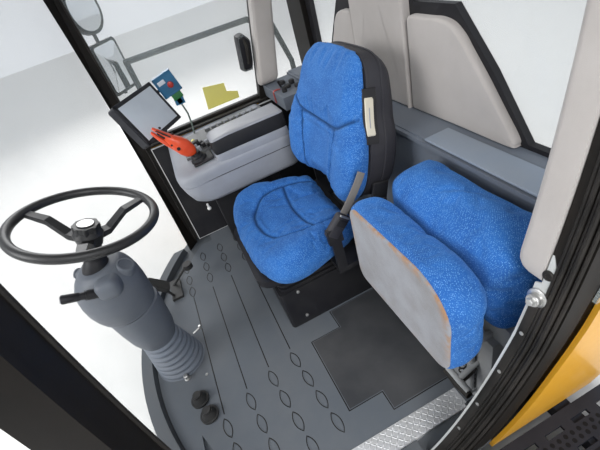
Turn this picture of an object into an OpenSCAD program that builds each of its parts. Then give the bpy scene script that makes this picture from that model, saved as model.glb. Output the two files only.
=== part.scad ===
// Operator's cab of a forage harvester: barrel-sided shell with a curved
// windscreen, driver's seat, folding jump seat, console and steering column.
// Millimetres. +X forward, +Y left, +Z up. The origin is at the underside of
// the base frame, under the driver.

/* [Shell] */
// Half of the inside width at elbow height
half_width = 820; // [800:5:850]
// Radius of the barrel-shaped sides
side_radius = 3600; // [3000:100:5000]
// Front of the floor on the centre line
nose_x = 610; // [590:5:640]
// How far the windscreen bulges ahead of the front posts
nose_bulge = 265; // [240:5:290]
// Height of the roof ring's underside
header_z = 1700; // [1660:10:1760]
// Depth of the posts, across the shell
post_depth = 45; // [40:1:50]

/* [Roof] */
// Height of the roof cap at its crown
roof_rise = 145; // [120:5:160]
// Overhang past the shell at the front
roof_overhang = 110; // [95:5:130]

/* [Door] */
// Swing of the door at rest
door_open = 100; // [90:1:104]
// Width of the door's frame bars
door_bar = 58; // [50:1:70]

/* [Steering] */
// Outer radius of the steering wheel
wheel_radius = 208; // [195:1:215]
// Rearward lean of the steering wheel
wheel_lean = 19; // [16:1:22]
// Rings of the rubber boot at the column's foot
boot_rings = 5; // [4:1:7]

/* [Seats] */
// Width of the driver's seat cushion
seat_width = 540; // [500:5:545]
// Rearward lean of the backrest
back_lean = 15; // [12:1:17]
// Width of the jump seat
jump_width = 410; // [380:5:420]

/* [Floor] */
// Pitch of the ribs across the mat
rib_pitch = 99; // [90:1:108]
// Length of one almond loop on the mat
loop_len = 78; // [70:1:84]

/* [Hidden] */

gap = 0.3;
base_h = 100;
floor_z = 130;
mat_z = 140;
back_x = -600;
mid_z = 850;
corner_x = nose_x - nose_bulge;
header_h = 60;
sill_z = 150;
glass_t = 8;
belt_z = 714;
skin = post_depth;
ledge_z = 790;
wall_t = 20;
wall_x = back_x - post_depth;
wide = half_width + 180;
inner_y = half_width - 520;
sill_y = half_width - 191;
frame_y = half_width - 180;
wall_y = half_width - 130;
jump_y = half_width - 264;

// Inside half-width at a height.
function side_y(z) = half_width - side_radius + sqrt(side_radius * side_radius - (z - mid_z) * (z - mid_z));

steel = [0.22, 0.22, 0.23];
dark = [0.13, 0.12, 0.12];
body_yellow = [0.97, 0.73, 0.26];
grey_plastic = [0.42, 0.44, 0.46];
light_grey = [0.66, 0.67, 0.68];
seat_blue = [0.18, 0.43, 0.74];
pad_cloth = [0.72, 0.70, 0.68];
clear = [0.75, 0.85, 0.88, 0.35];

// A box from two corners.
module slab(x0, x1, y0, y1, z0, z1)
    translate([x0, y0, z0]) cube([x1 - x0, y1 - y0, z1 - z0]);

// A flat outline with true round corners, centred.
module round_rect(w, d, r) {
    square([w - 2 * r, d], center = true);
    square([w, d - 2 * r], center = true);
    for (sx = [-1, 1], sy = [-1, 1])
        translate([sx * (w / 2 - r), sy * (d / 2 - r)]) circle(r = r, $fn = 40);
}

// A side-view outline carried across the cab from y0 to y1.
module across(y0, y1) translate([0, y1, 0]) rotate([90, 0, 0])
    linear_extrude(y1 - y0) children();

// Turn a piece on the Y axis about a point in side view.
module tilt_at(x, z, a) translate([x, 0, z]) rotate([0, a, 0])
    translate([-x, 0, -z]) children();

// A round bar between two points.
module bar(a, b, r, fn = 32) {
    d = b - a;
    l = norm(d);
    translate(a) rotate([0, acos(d[2] / l), atan2(d[1], d[0])])
        cylinder(r = r, h = l, $fn = fn);
}

// A tube bent through a list of points, with ball corners.
module tube(points, r) {
    for (i = [0 : len(points) - 2]) bar(points[i], points[i + 1], r);
    for (i = [1 : len(points) - 2]) translate(points[i]) sphere(r = r + 0.5, $fn = 32);
}

// The space inside the two barrel sides, grown by g.
module barrel(g) intersection() {
    translate([-1000, half_width - side_radius, mid_z]) rotate([0, 90, 0])
        cylinder(r = side_radius + g, h = 2000, $fn = 360);
    translate([-1000, side_radius - half_width, mid_z]) rotate([0, 90, 0])
        cylinder(r = side_radius + g, h = 2000, $fn = 360);
}

// The round front, bowed in height like the sides, grown by g.
front_sag = side_radius - sqrt(side_radius * side_radius - (mid_z - mat_z) * (mid_z - mat_z));
mid_bulge = nose_bulge + front_sag;
front_r = (half_width * half_width + mid_bulge * mid_bulge) / (2 * mid_bulge);
nose_c = nose_x + front_sag - front_r;
eave_r = front_r - front_sag;
module nose_form(g) translate([nose_c, 0, 0]) rotate_extrude($fn = 300) intersection() {
    translate([front_r - side_radius, mid_z]) circle(r = side_radius + g, $fn = 360);
    translate([0, -40]) square([2400, 2100]);
}

// The cab's inside form grown by g: barrel sides, round front, flat back.
module form(g) intersection() {
    barrel(g);
    nose_form(g);
    slab(back_x - g, 1200, -1200, 1200, -40, 2060);
}

// A skin of the form between two growths.
module shell(g0, g1) difference() { form(g1); form(g0); }

// A strip of the round front wall.
module nose_strip(g0, g1, reach, z0, z1) intersection() {
    difference() {
        nose_form(g1);
        nose_form(g0);
    }
    slab(corner_x - 90, nose_x + 300, -reach, reach, z0, z1);
}

// Rear door post in side view: height, front edge, rear edge.
post_rows = [[130, -112, -262], [210, -150, -278], [330, -196, -306],
    [500, -256, -345], [640, -303, -385], [760, -331, -414],
    [940, -370, -452], [1130, -410, -492], [1700, -528, -598]];
p_z = 0;
p_front = 1;
p_rear = 2;

module post_outline(df = 0, dr = 0) polygon(concat(
    [for (r = post_rows) [r[p_front] + df, r[p_z]]],
    [for (i = [len(post_rows) - 1 : -1 : 0]) [post_rows[i][p_rear] - dr, post_rows[i][p_z]]]));

// Door outline, grown by d from the opening.
module door_outline(d) intersection() {
    polygon(concat(
        [[corner_x - 50 + d, 0], [corner_x - 50 + d, 1900]],
        [for (i = [len(post_rows) - 1 : -1 : 0])
            [post_rows[i][p_front] - d,
                post_rows[i][p_z] + (i == 0 ? -40 : i == len(post_rows) - 1 ? 40 : 0)]]));
    translate([-900, sill_z - d]) square([1500, header_z - sill_z + 2 * d]);
}

module base_frame() color(steel) difference() {
    union() {
        for (s = [-1, 1]) slab(back_x - skin, corner_x - 20, s * frame_y - 45, s * frame_y + 45, 0, base_h);
        for (x = [back_x - skin, -45, corner_x - 110])
            slab(x, x + 90, -frame_y, frame_y, 0, base_h);
        for (x = [-440, 160], s = [-1, 1])
            translate([x, s * (frame_y - 80), 0]) cylinder(r = 75, h = 26, $fn = 48);
    }
    for (x = [-440, 160], s = [-1, 1])
        translate([x, s * (frame_y - 100), -1]) cylinder(r = 13, h = 60, $fn = 40);
}

module floor_pan() color(dark) {
    intersection() {
        form(skin);
        slab(back_x - skin, nose_x + skin, -wide, wide, base_h + gap, floor_z);
    }
    nose_strip(2, skin, half_width - 135, floor_z - 5, floor_z + 34);
    intersection() {
        shell(-49, skin);
        slab(-108, corner_x - 46, sill_y - 29, wide, floor_z - 5, sill_z);
    }
}

// Rows of ribs: distance ahead of the first rib, reach to the right, to the
// left, and where the first loops stand on either side.
rib_rows = [[0, -345, 210, -420, 262], [1, -335, 235, -400, 287], [2, -320, 272, -391, 324],
    [3, -310, 318, -350, 370]];
loop_step = loop_len + 14;
hatch = [[17, 229], [17, 526], [-105, 526], [-105, 592], [-318, 592],
    [-318, 142], [-105, 142], [-105, 229]];

module almond(l, w) intersection() {
    r = (l * l + w * w) / (4 * w);
    translate([0, r - w / 2]) circle(r = r, $fn = 48);
    translate([0, w / 2 - r]) circle(r = r, $fn = 48);
}

module almond_ring() difference() {
    almond(loop_len, 30);
    almond(loop_len - 15, 22);
}

module floor_mat() color([0.36, 0.38, 0.41]) difference() {
    intersection() {
        form(-2);
        union() {
            slab(-478, nose_x, -wide, sill_y - 1, floor_z + gap, mat_z);
            slab(-478, -300, sill_y - 9, sill_y + 51, floor_z + gap, mat_z);
        }
    }
    intersection() {
        shell(-64, skin + 10);
        slab(corner_x - 120, corner_x + 140, -wide, wide, floor_z - 10, mat_z + 10);
    }
    for (r = rib_rows)
        slab(100 + r[0] * rib_pitch - 2, 100 + r[0] * rib_pitch + 2, r[1], r[2], mat_z - 2, mat_z + 5);
    for (r = rib_rows, k = [0 : 3])
        translate([100 + r[0] * rib_pitch - k * 11, r[4] + k * loop_step, mat_z - 1.5])
            linear_extrude(5) rotate(97) almond_ring();
    for (r = rib_rows, k = [0 : 2])
        translate([100 + r[0] * rib_pitch, r[3] - k * loop_step, mat_z - 1.5])
            linear_extrude(5) rotate(90) almond_ring();
    for (i = [0 : len(hatch) - 1]) {
        a = hatch[i];
        b = hatch[(i + 1) % len(hatch)];
        slab(min(a[0], b[0]) - 2, max(a[0], b[0]) + 2, min(a[1], b[1]) - 2, max(a[1], b[1]) + 2,
            mat_z - 3, mat_z + 5);
    }
}

module sill_plate() color([0.75, 0.76, 0.77]) linear_extrude(mat_z + 1 - floor_z - gap) {
    translate([0, sill_y]) polygon([[292, 0], [292, 68], [-112, 68], [-160, 63], [-290, 63], [-290, 53],
        [-299, 53], [-299, 0]]);
}

// Foot switches and pedals: place, radius, height.
switches = [[465, 219, 24, 30], [444, 293, 24, 30]];

module foot_controls() {
    color(dark) for (s = switches) translate([s[0], s[1], mat_z + gap]) {
        cylinder(r = s[2] + 9, h = 8, $fn = 40);
        translate([0, 0, 7]) cylinder(r1 = s[2] + 3, r2 = s[2] - 6, h = s[3] - 8, $fn = 40);
        translate([0, 0, s[3] - 2]) cylinder(r = s[2] - 9, h = 10, $fn = 40);
    }
    color(dark) {
        slab(440, 492, -482, -344, mat_z + gap, mat_z + 14);
        bar([478, -370, 147], [512, -370, 250], 6);
        translate([512, -370, 250]) rotate([0, -48, 0]) translate([0, 0, -10])
            linear_extrude(20) round_rect(100, 64, 14);
        bar([478, -448, 146], [370, -412, 250], 6);
        translate([362, -411, 236]) cylinder(r = 22, h = 26, $fn = 40);
    }
}

// Both front posts, with the fixed hinge arms of the door on the left one.
hinge_x = corner_x - 2;
hinge_y = half_width + 92;
hinge_zs = [360, 1340];

module front_posts() color(dark) {
    intersection() {
        shell(-10, skin);
        union() for (s = [-1, 1])
            slab(corner_x - 42, corner_x + 8, s * (half_width - 40) - 90, s * (half_width - 40) + 90,
                floor_z + gap, header_z - gap);
    }
    for (z = hinge_zs) {
        slab(hinge_x - 10, hinge_x + 4, half_width - 22, hinge_y, z - 62, z - 36);
        translate([hinge_x, hinge_y, z - 62]) cylinder(r = 20, h = 26, $fn = 40);
        translate([hinge_x, hinge_y, z - 40]) cylinder(r = 8, h = 74, $fn = 32);
    }
}

module rear_posts() color(dark) {
    intersection() {
        shell(0, skin);
        union() for (s = [-1, 1]) across(s * (half_width - 20) - 109, s * (half_width - 20) + 109)
            intersection() {
                post_outline();
                translate([-900, floor_z + gap]) square([1500, header_z - floor_z - 2 * gap]);
            }
    }
    intersection() {
        shell(0, skin);
        union() for (s = [-1, 1])
            slab(back_x - skin, back_x - gap, s * (half_width - 20) - 110, s * (half_width - 20) + 110,
                floor_z + gap, header_z - gap);
    }
}

module roof_ring() color(dark) intersection() {
    shell(-40, skin);
    slab(-900, 900, -wide, wide, header_z, header_z + header_h);
}

module windscreen() color(clear) intersection() {
    nose_strip(skin + gap, skin + gap + glass_t, wide, base_h + 12, header_z + 38);
    barrel(skin - 2);
    slab(corner_x - 10, 900, -wide, wide, 0, 2000);
}

// One glass side: the outline is cut from the skin outside the posts.
module side_skin(s, g0, g1) intersection() {
    difference() { barrel(g1); barrel(g0); }
    across(s > 0 ? inner_y : -wide, s > 0 ? wide : -inner_y) children();
}

module side_windows() color(clear) {
    side_skin(-1, skin + gap, skin + gap + glass_t) polygon(concat(
        [[corner_x - 12, belt_z + 4], [corner_x - 12, header_z + 30]],
        [[-552, header_z + 30], [-538, 1700], [-419, 1130], [-380, 940], [-338, 760], [-319, belt_z + 4]]));
    for (s = [-1, 1]) side_skin(s, skin + gap, skin + gap + glass_t) polygon([
        [back_x - skin + 4, belt_z + 4], [-407, belt_z + 4], [-418, 760], [-460, 940], [-499, 1130],
        [-592, 1580], [back_x - skin + 4, 1640]]);
    color(dark) side_skin(-1, -26, skin + gap + 1) polygon([
        [-282, 868], [-326, 862], [-340, 900], [-356, 985], [-332, 1022], [-304, 1018]]);
}

// Rear wall: windows either side of the middle pillar.
pillar_y = -74;
pillar_w = 309;

// Wings beside the pillar in rear view: height, inner edge, left wing's outer
// edge, right wing's outer edge, all from the pillar's middle.
wing_rows = [[790.3, 162, 556, 460], [942, 164, 436, 360], [1067, 168, 324, 280]];
w_z = 0;
w_in = 1;
w_left = 2;
w_right = 3;
rim = 36;

// Rounded corners on a wing's outer side: row, inset, rise.
wing_corners = [[0, 42, 0], [0, 17, 5], [0, 9, 20], [0, 24, 44], [1, 0, 0], [2, -28, -35], [2, 0, -11],
    [2, 16, -3], [2, 40, 0]];

function wing_y(r, s) = pillar_y + s * (s > 0 ? r[w_left] : r[w_right]);

module rear_outline(s) polygon([
    [pillar_y + s * (pillar_w / 2 + 16), 1640], [pillar_y + s * (pillar_w / 2 + 16), 1067 + rim],
    [wing_y(wing_rows[2], s) + s * rim / 2, 1067 + rim], [wing_y(wing_rows[1], s) + s * rim, 942 + rim / 2],
    [wing_y(wing_rows[0], s) + s * rim, ledge_z + 12], [s * (wall_y - 45), ledge_z + 12],
    [s * (wall_y - 65), 1500], [s * (wall_y - 100), 1640]]);

module rear_wall() color(steel) difference() {
    slab(wall_x, wall_x + wall_t, -wall_y + gap, wall_y - gap, floor_z + gap, header_z - gap);
    for (s = [-1, 1]) translate([wall_x - 1, 0, 0]) rotate([90, 0, 90]) linear_extrude(40) rear_outline(s);
}

module rear_windows() color(clear) for (s = [-1, 1])
    translate([wall_x - gap - 6, 0, 0]) rotate([90, 0, 90]) linear_extrude(6)
        intersection() {
            translate([pillar_y + s * (wall_y / 2 + 5), 1240]) square([wall_y - 50, 900], center = true);
            translate([-wall_y + 20, 700]) square([2 * wall_y - 40, 1000]);
        }

module rear_pads() color(pad_cloth) translate([wall_x + wall_t + gap, 0, 0]) rotate([90, 0, 90]) {
    linear_extrude(30) translate([pillar_y, 1216]) round_rect(pillar_w, 851, 40);
    for (s = [-1, 1]) linear_extrude(24) polygon([
        for (c = wing_corners) [wing_y(wing_rows[c[0]], s) - s * c[1], wing_rows[c[0]][w_z] + c[2]],
        [pillar_y + s * (wing_rows[2][w_in] + 14), wing_rows[2][w_z]],
        [pillar_y + s * wing_rows[2][w_in], wing_rows[2][w_z] - 14],
        [pillar_y + s * wing_rows[0][w_in], wing_rows[0][w_z]]]);
}

ledge_x = -490;

module rear_ledge() color([0.50, 0.54, 0.58]) intersection() {
    barrel(-9 - gap);
    union() {
        slab(back_x + gap, ledge_x - 12, -wide, wide, 768, ledge_z);
        slab(wall_x + wall_t + gap, back_x + 1, -wall_y + gap, wall_y - gap, 768, ledge_z);
        slab(ledge_x - 28, ledge_x - 12, -wide, wide, floor_z + gap, 770);
        slab(ledge_x - 13, ledge_x, -wide, wide, 774, 786);
        slab(ledge_x - 20, -352, -wide, 310 - half_width, 716, 774.5);
    }
}

module post_pads() color(pad_cloth) intersection() {
    difference() { barrel(-gap); barrel(-60); }
    union() for (s = [-1, 1]) across(s * (half_width - 20) - 200, s * (half_width - 20) + 200)
        intersection() {
            post_outline(8, 14);
            translate([back_x + gap, 778]) square([900, 722]);
        }
}

module side_panels() color(body_yellow) {
    side_skin(1, skin + gap, skin + gap + 10) polygon([
        [-284, base_h], [-284, 130], [-302, 210], [-330, 330], [-369, 500], [-409, 640], [-424, belt_z],
        [back_x - skin, belt_z], [back_x - skin, base_h]]);
    side_skin(-1, skin + gap, skin + gap + 10) polygon([
        [corner_x - 8, base_h], [corner_x - 8, belt_z], [back_x - skin, belt_z], [back_x - skin, base_h]]);
}

module inner_panels() color(light_grey) {
    side_skin(1, -9, -gap) polygon([
        [-303, mat_z + 2], [-303, 330], [-343, 500], [-380, 640], [-396, 700],
        [ledge_x - 29, 700], [ledge_x - 29, mat_z + 2]]);
    side_skin(-1, -9, -gap) polygon([
        [corner_x - 60, floor_z + 12], [corner_x - 60, 690], [ledge_x - 29, 690],
        [ledge_x - 29, floor_z + 12]]);
}

module door_seal() color(dark) intersection() {
    difference() { barrel(skin + 10); barrel(skin + gap); }
    across(inner_y, wide) difference() { door_outline(26); door_outline(4); }
}

module roof_shell() color(body_yellow) difference() {
    intersection() {
        translate([nose_c, 0, header_z + header_h + gap])
            cylinder(r = eave_r + roof_overhang, h = 200, $fn = 180);
        slab(back_x - 95, nose_x + 200, -half_width, half_width, header_z, header_z + 400);
        translate([-900, 0, header_z + header_h + roof_rise - 4200]) rotate([0, 90, 0])
            cylinder(r = 4200, h = 1900, $fn = 180);
        translate([-60, wide, header_z + header_h + roof_rise - 5200]) rotate([90, 0, 0])
            cylinder(r = 5200, h = 2 * wide, $fn = 180);
    }
    intersection() {
        form(-10);
        slab(-900, 900, -wide, wide, header_z, header_z + header_h + 60);
    }
}

// The liner's plate and, under it, the four borders of the recess over the driver's head.
recess = [[-360, 200], [70 - half_width / 2, half_width / 2 - 70]];

module roof_liner() color([0.80, 0.79, 0.77]) intersection() {
    form(-40 - gap);
    union() {
        slab(-900, 900, -wide, wide, header_z + 40, header_z + header_h);
        for (x = [[-900, recess[0][0]], [recess[0][1], 900]])
            slab(x[0], x[1], -wide, wide, header_z + 24, header_z + 40 - gap);
        for (y = [[-wide, recess[1][0]], [recess[1][1], wide]])
            slab(recess[0][0] + gap, recess[0][1] - gap, y[0], y[1], header_z + 24, header_z + 40 - gap);
    }
}

// Lamps under the roof's front overhang: turn about the nose centre.
lamp_turns = [-28, -20, -12, 12, 20, 28];

module work_lamps() color(dark) {
    for (a = lamp_turns) translate([nose_c, 0, 0]) rotate([0, 0, a]) {
        slab(eave_r + 64, eave_r + roof_overhang - 6, -62, 62, header_z - 12, header_z + header_h);
        translate([eave_r + roof_overhang - 8, 0, header_z + 24]) rotate([0, 90, 0])
            cylinder(r = 32, h = 8, $fn = 48);
    }
    for (s = [-1, 1]) {
        slab(back_x - 88, back_x - 56, s * (wall_y - 90) - 62, s * (wall_y - 90) + 62, header_z - 12,
            header_z + header_h);
        translate([back_x - 86, s * (wall_y - 90), header_z + 24]) rotate([0, -90, 0])
            cylinder(r = 32, h = 8, $fn = 48);
    }
}

// Steering column: the boot is fixed, the head tilts on the pivot inside it.
foot_x = 505;
pivot_z = 215;

module column_base() color(dark) {
    difference() {
        translate([foot_x, 0, mat_z + gap]) {
            cylinder(r = 100, h = 12, $fn = 60);
            for (k = [0 : boot_rings - 1]) {
                translate([0, 0, 11 + k * 26]) cylinder(r1 = 94 - k * 3, r2 = 86 - k * 3, h = 13, $fn = 60);
                translate([0, 0, 23 + k * 26]) cylinder(r = 80 - k * 3, h = 15, $fn = 60);
            }
        }
        translate([foot_x, 0, mat_z + 13]) cylinder(r1 = 66, r2 = 62, h = 400, $fn = 60);
    }
    for (s = [-1, 1]) {
        slab(foot_x - 11, foot_x + 11, s * 45 - 5, s * 45 + 5, mat_z + 12, pivot_z);
        translate([foot_x, s * 45 + 5, pivot_z]) rotate([90, 0, 0]) cylinder(r = 11, h = 10, $fn = 40);
    }
    translate([foot_x, 45, pivot_z]) rotate([90, 0, 0]) cylinder(r = 8, h = 90, $fn = 32);
}

module column_head() color(grey_plastic) {
    difference() {
        translate([foot_x, 0, pivot_z - 26]) cylinder(r = 32, h = 150, $fn = 48);
        translate([foot_x, 60, pivot_z]) rotate([90, 0, 0]) cylinder(r = 8 + gap, h = 120, $fn = 32);
    }
    translate([foot_x + 12, 0, 308]) cylinder(r1 = 62, r2 = 80, h = 52, $fn = 60);
    translate([foot_x + 15, 0, 359]) cylinder(r1 = 83, r2 = 94, h = 141, $fn = 60);
    hull() {
        translate([foot_x + 26, 0, 496]) cylinder(r = 90, h = 10, $fn = 40);
        translate([foot_x + 30, 0, 548]) cylinder(r = 108, h = 60, $fn = 40);
        translate([foot_x + 22, 0, 650]) cylinder(r = 92, h = 10, $fn = 40);
        translate([foot_x + 16, 0, 684]) cylinder(r = 66, h = 12, $fn = 40);
    }
    tilt_at(472, 855, -wheel_lean) {
        translate([472, 0, 664]) cylinder(r1 = 52, r2 = 34, h = 60, $fn = 60);
        translate([472, 0, 722]) cylinder(r = 27, h = 36, $fn = 48);
        translate([472, 0, 756]) cylinder(r = 13, h = 62, $fn = 40);
    }
    translate([foot_x + 50, -84, 612]) rotate([90, 0, 0]) cylinder(r = 36, h = 34, $fn = 48);
    bar([560, 0, 592], [668, 0, 634], 8);
    bar([634, 0, 620.8], [678, 0, 637.9], 12);
    translate([572, -44, 668]) rotate([0, 35, 0]) cylinder(r = 17, h = 36, $fn = 40);
}

// Spokes turn about the wheel's axis.
spoke_turns = [90, -30, 210];

module steering_wheel() color([0.09, 0.09, 0.09]) translate([472, 0, 855]) rotate([0, -wheel_lean, 0]) {
    difference() {
        union() {
            rotate_extrude($fn = 120) translate([wheel_radius - 14, 0]) circle(r = 14, $fn = 32);
            for (a = spoke_turns) rotate([0, 0, a]) intersection() {
                translate([0, 0, -76]) linear_extrude(90) polygon([[26, -17], [wheel_radius - 14, -11],
                    [wheel_radius - 14, 11], [26, 17]]);
                translate([0, 60, 0]) rotate([90, 0, 0]) linear_extrude(120) polygon([
                    [20, -72], [60, -68], [120, -24], [wheel_radius - 12, -6], [wheel_radius - 12, 6],
                    [120, -8], [62, -50], [20, -52]]);
            }
            translate([0, 0, -84]) cylinder(r1 = 34, r2 = 43, h = 38, $fn = 60);
            translate([0, 0, -47]) cylinder(r1 = 43, r2 = 36, h = 16, $fn = 60);
            translate([0, 0, -32]) cylinder(r = 35, h = 18, $fn = 60);
            for (a = [0 : 45 : 315]) rotate([0, 0, a]) translate([31, 0, -44])
                cylinder(r = 8, h = 29, $fn = 24);
        }
        translate([0, 0, -104]) cylinder(r = 13.5, h = 68, $fn = 40);
    }
    translate([0, 0, -14.5]) cylinder(r = 25, h = 3, $fn = 60);
}

// Console pod on the right wall, in side view.
con_in = 482 - half_width;
con_out = -half_width - 20;
con_top = 702;

module console_side(d) polygon([[-300, 600], [-300, con_top + d], [30, con_top + d], [150, con_top - 12 + d],
    [205 + d, 650], [222 + d, 600], [205, 560], [160, 532], [60, 536]]);

module console_body() color(light_grey) intersection() {
    barrel(-9 - gap);
    difference() {
        union() {
            intersection() {
                across(con_out, con_in) console_side(0);
                translate([-40, (con_in + con_out) / 2 - 40, 400]) linear_extrude(400)
                    round_rect(532, con_in - con_out + 80, 46);
            }
            slab(-260, 130, con_out, con_in - 222, mat_z + gap, 560);
        }
        slab(-240, 110, con_in - 377, con_in - 242, mat_z - 5, 520);
    }
}

module console_armrest() color(dark) {
    intersection() {
        across(con_in - 132, con_in - 18) polygon([[-286, con_top + gap], [-286, 792], [-40, 792],
            [2, 778], [20, 748], [20, con_top + gap]]);
        translate([-135, con_in - 75, 600]) linear_extrude(300) round_rect(310, 112, 34);
    }
}

module console_panel() color(grey_plastic) {
    across(con_in - 384, con_in - 148) difference() {
        polygon([[-280, 690], [-280, con_top + 12], [30, con_top + 12], [142, con_top + 1.2], [142, 680]]);
        console_side(gap);
    }
    for (k = [0 : 7]) slab(-250 + k * 34, -226 + k * 34, con_in - 362, con_in - 338,
        con_top + 8, con_top + 22);
    for (k = [0 : 4]) slab(-250 + k * 34, -226 + k * 34, con_in - 322, con_in - 298,
        con_top + 8, con_top + 20);
}

module joystick() {
    color(dark) difference() {
        translate([96, con_in - 92, con_top - 20]) cylinder(r1 = 38, r2 = 20, h = 54, $fn = 48);
        across(con_in - 262, con_in + 38) console_side(gap);
    }
    color([0.90, 0.28, 0.14]) translate([0, con_in - 92, 0]) {
        bar([96, 0, 730], [112, 0, 800], 13);
        hull() {
            translate([108, 0, 790]) sphere(r = 24, $fn = 24);
            translate([196, -16, 862]) sphere(r = 20, $fn = 24);
            translate([150, 2, 840]) sphere(r = 27, $fn = 24);
        }
    }
}

// Screen on an arm from the right front post; it faces the driver.
term_at = [197, 246 - half_width, 914];
term_turn = 49;
term_lean = 24;
box_at = [78, 62 - half_width, 953];
box_turn = 12.7;

module terminal() color(dark) {
    translate(term_at) rotate([0, 0, term_turn]) rotate([term_lean, 0, 0]) {
        translate([0, -20, 0]) rotate([90, 0, 0]) linear_extrude(38, center = true) round_rect(250, 190, 14);
        translate([0, 1, 0]) rotate([90, 0, 0]) linear_extrude(8, center = true) round_rect(218, 158, 6);
    }
    translate([0, -half_width, 0]) {
        bar([213, 232, 904], [330, 60, 855], 14);
        bar([324, 62, 858], [78, 36, 950], 7);
        translate([78, 46.7, 950]) rotate([90, 0, 0]) cylinder(r = 14, h = 14, $fn = 40);
    }
    intersection() {
        bar([326, 75 - half_width, 855], [326, -half_width - 10, 855], 20);
        form(-10 - gap);
    }
}

module controller_box() color([0.16, 0.38, 0.55]) {
    translate(box_at) rotate([0, box_turn, 0]) {
        translate([-46, -15, -48]) cube([92, 30, 96]);
        translate([-42, 14.9, -44]) cube([84, 3, 88]);
        translate([-12, 12, -6]) rotate([-90, 0, 0]) cylinder(r = 12, h = 16, $fn = 40);
    }
    translate([box_at[0] - 42, box_at[1] - 12, 852]) cube([44, 24, 62]);
}

cable_path = [[56, 62, 851.7], [48, 64, 800], [52, 70, 750], [60, 74, 702.3]];

module controller_cable() color([0.35, 0.42, 0.38]) translate([0, -half_width, 0]) tube(cable_path, 4);

module seat_base() color(dark) {
    translate([-134, 0, mat_z + gap]) linear_extrude(190) round_rect(372, 268, 16);
    for (k = [0 : 3]) {
        translate([-134, 0, 329 + k * 25]) linear_extrude(14) round_rect(350, 250, 30);
        translate([-134, 0, 342 + k * 25]) linear_extrude(13) round_rect(326, 226, 30);
    }
    translate([-134, 0, 429]) linear_extrude(12) round_rect(372, 300, 16);
    for (s = [-1, 1]) slab(-330, 60, s * 120 - 14, s * 120 + 14, 440, 452);
}

seat_half = seat_width / 2;
hold_y = seat_half - 22;

module seat_pan() color(dark) {
    difference() {
        translate([-108, 0, 452 + gap]) linear_extrude(28.7) round_rect(420, seat_width - 144, 60);
        for (s = [-1, 1]) slab(-400, 200, s * 120 - 14 - gap, s * 120 + 14 + gap, 440, 458 + gap);
    }
    for (s = [-1, 1]) {
        slab(-367, -323, s * (hold_y + 6) - 6, s * (hold_y + 6) + 6, 458, 636);
        slab(-362, -230, s * (hold_y - 48) - 60, s * (hold_y - 48) + 60, 458, 478);
        translate([recline[0], s * hold_y, recline[1]]) rotate([s * 90, 0, 0])
            cylinder(r = 20, h = 6.7, $fn = 40);
    }
    slab(-182, -150, seat_half + 3, seat_half + 15, 460, 600);
    slab(-250, -150, seat_half - 90, seat_half + 15, 458, 478);
    slab(-190, -142, seat_half + 1, seat_half + 17, 585, 640);
}

// Half outline of the cushion seen from above, in shares of the seat's half width.
cushion_rows = [[85, 0], [81, 0.45], [58, 0.78], [20, 0.97], [-50, 1], [-150, 0.9], [-250, 0.76],
    [-290, 0.6]];

module cushion_plan() polygon(concat([for (r = cushion_rows) [r[0], r[1] * seat_half]],
    [for (i = [len(cushion_rows) - 1 : -1 : 1]) [cushion_rows[i][0], -cushion_rows[i][1] * seat_half]]));

module seat_cushion() color(seat_blue) intersection() {
    across(-300, 300) polygon([[-296, 481.3], [-296, 575], [-200, 582], [-60, 600], [30, 594], [70, 570],
        [86, 535], [76, 481.3]]);
    translate([0, 0, 470]) linear_extrude(140) cushion_plan();
}

// The backrest leans about the recline pivot.
recline = [-345, 600];

// Half outline of the backrest seen from the front: height, inset from the seat's half width.
back_insets = [[600, 65], [680, 27], [760, 22], [830, 34], [885, 68], [950, 80], [1000, 95],
    [1035, 130], [1048, 180]];
back_rows = [for (r = back_insets) [r[0], seat_half - r[1]]];

module back_plan(d) polygon(concat([for (r = back_rows) [r[1] + d, r[0] + (r[0] > 1020 ? d : 0)]],
    [for (i = [len(back_rows) - 1 : -1 : 0])
        [-back_rows[i][1] - d, back_rows[i][0] + (back_rows[i][0] > 1020 ? d : 0)]]));

module back_shell() color(dark) tilt_at(recline[0], recline[1], -back_lean) {
    intersection() {
        across(8 - seat_half, seat_half - 8) polygon([[-352, 608], [-300, 612], [-300, 1016],
            [-316, 1044], [-360, 1040], [-390, 1000], [-402, 900], [-402, 700], [-384, 640]]);
        translate([-500, 0, 0]) rotate([90, 0, 90]) linear_extrude(250) back_plan(-6);
    }
    for (s = [-1, 1]) slab(-372, -318, s * (hold_y - 13) - 6, s * (hold_y - 13) + 6, 580, 690);
}

module back_cushion() color(seat_blue) tilt_at(recline[0], recline[1], -back_lean) intersection() {
    across(8 - seat_half, seat_half - 8) polygon([[-299.7, 620], [-240, 612], [-212, 660],
        [-208, 780], [-232, 850], [-256, 900], [-270, 1000], [-284, 1040], [-299.7, 1046]]);
    translate([-400, 0, 0]) rotate([90, 0, 90]) linear_extrude(250) back_plan(0);
}

// Jump seat at the left rear, cushion tipped up.
jump_pivot = [-312, 478];

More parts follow.
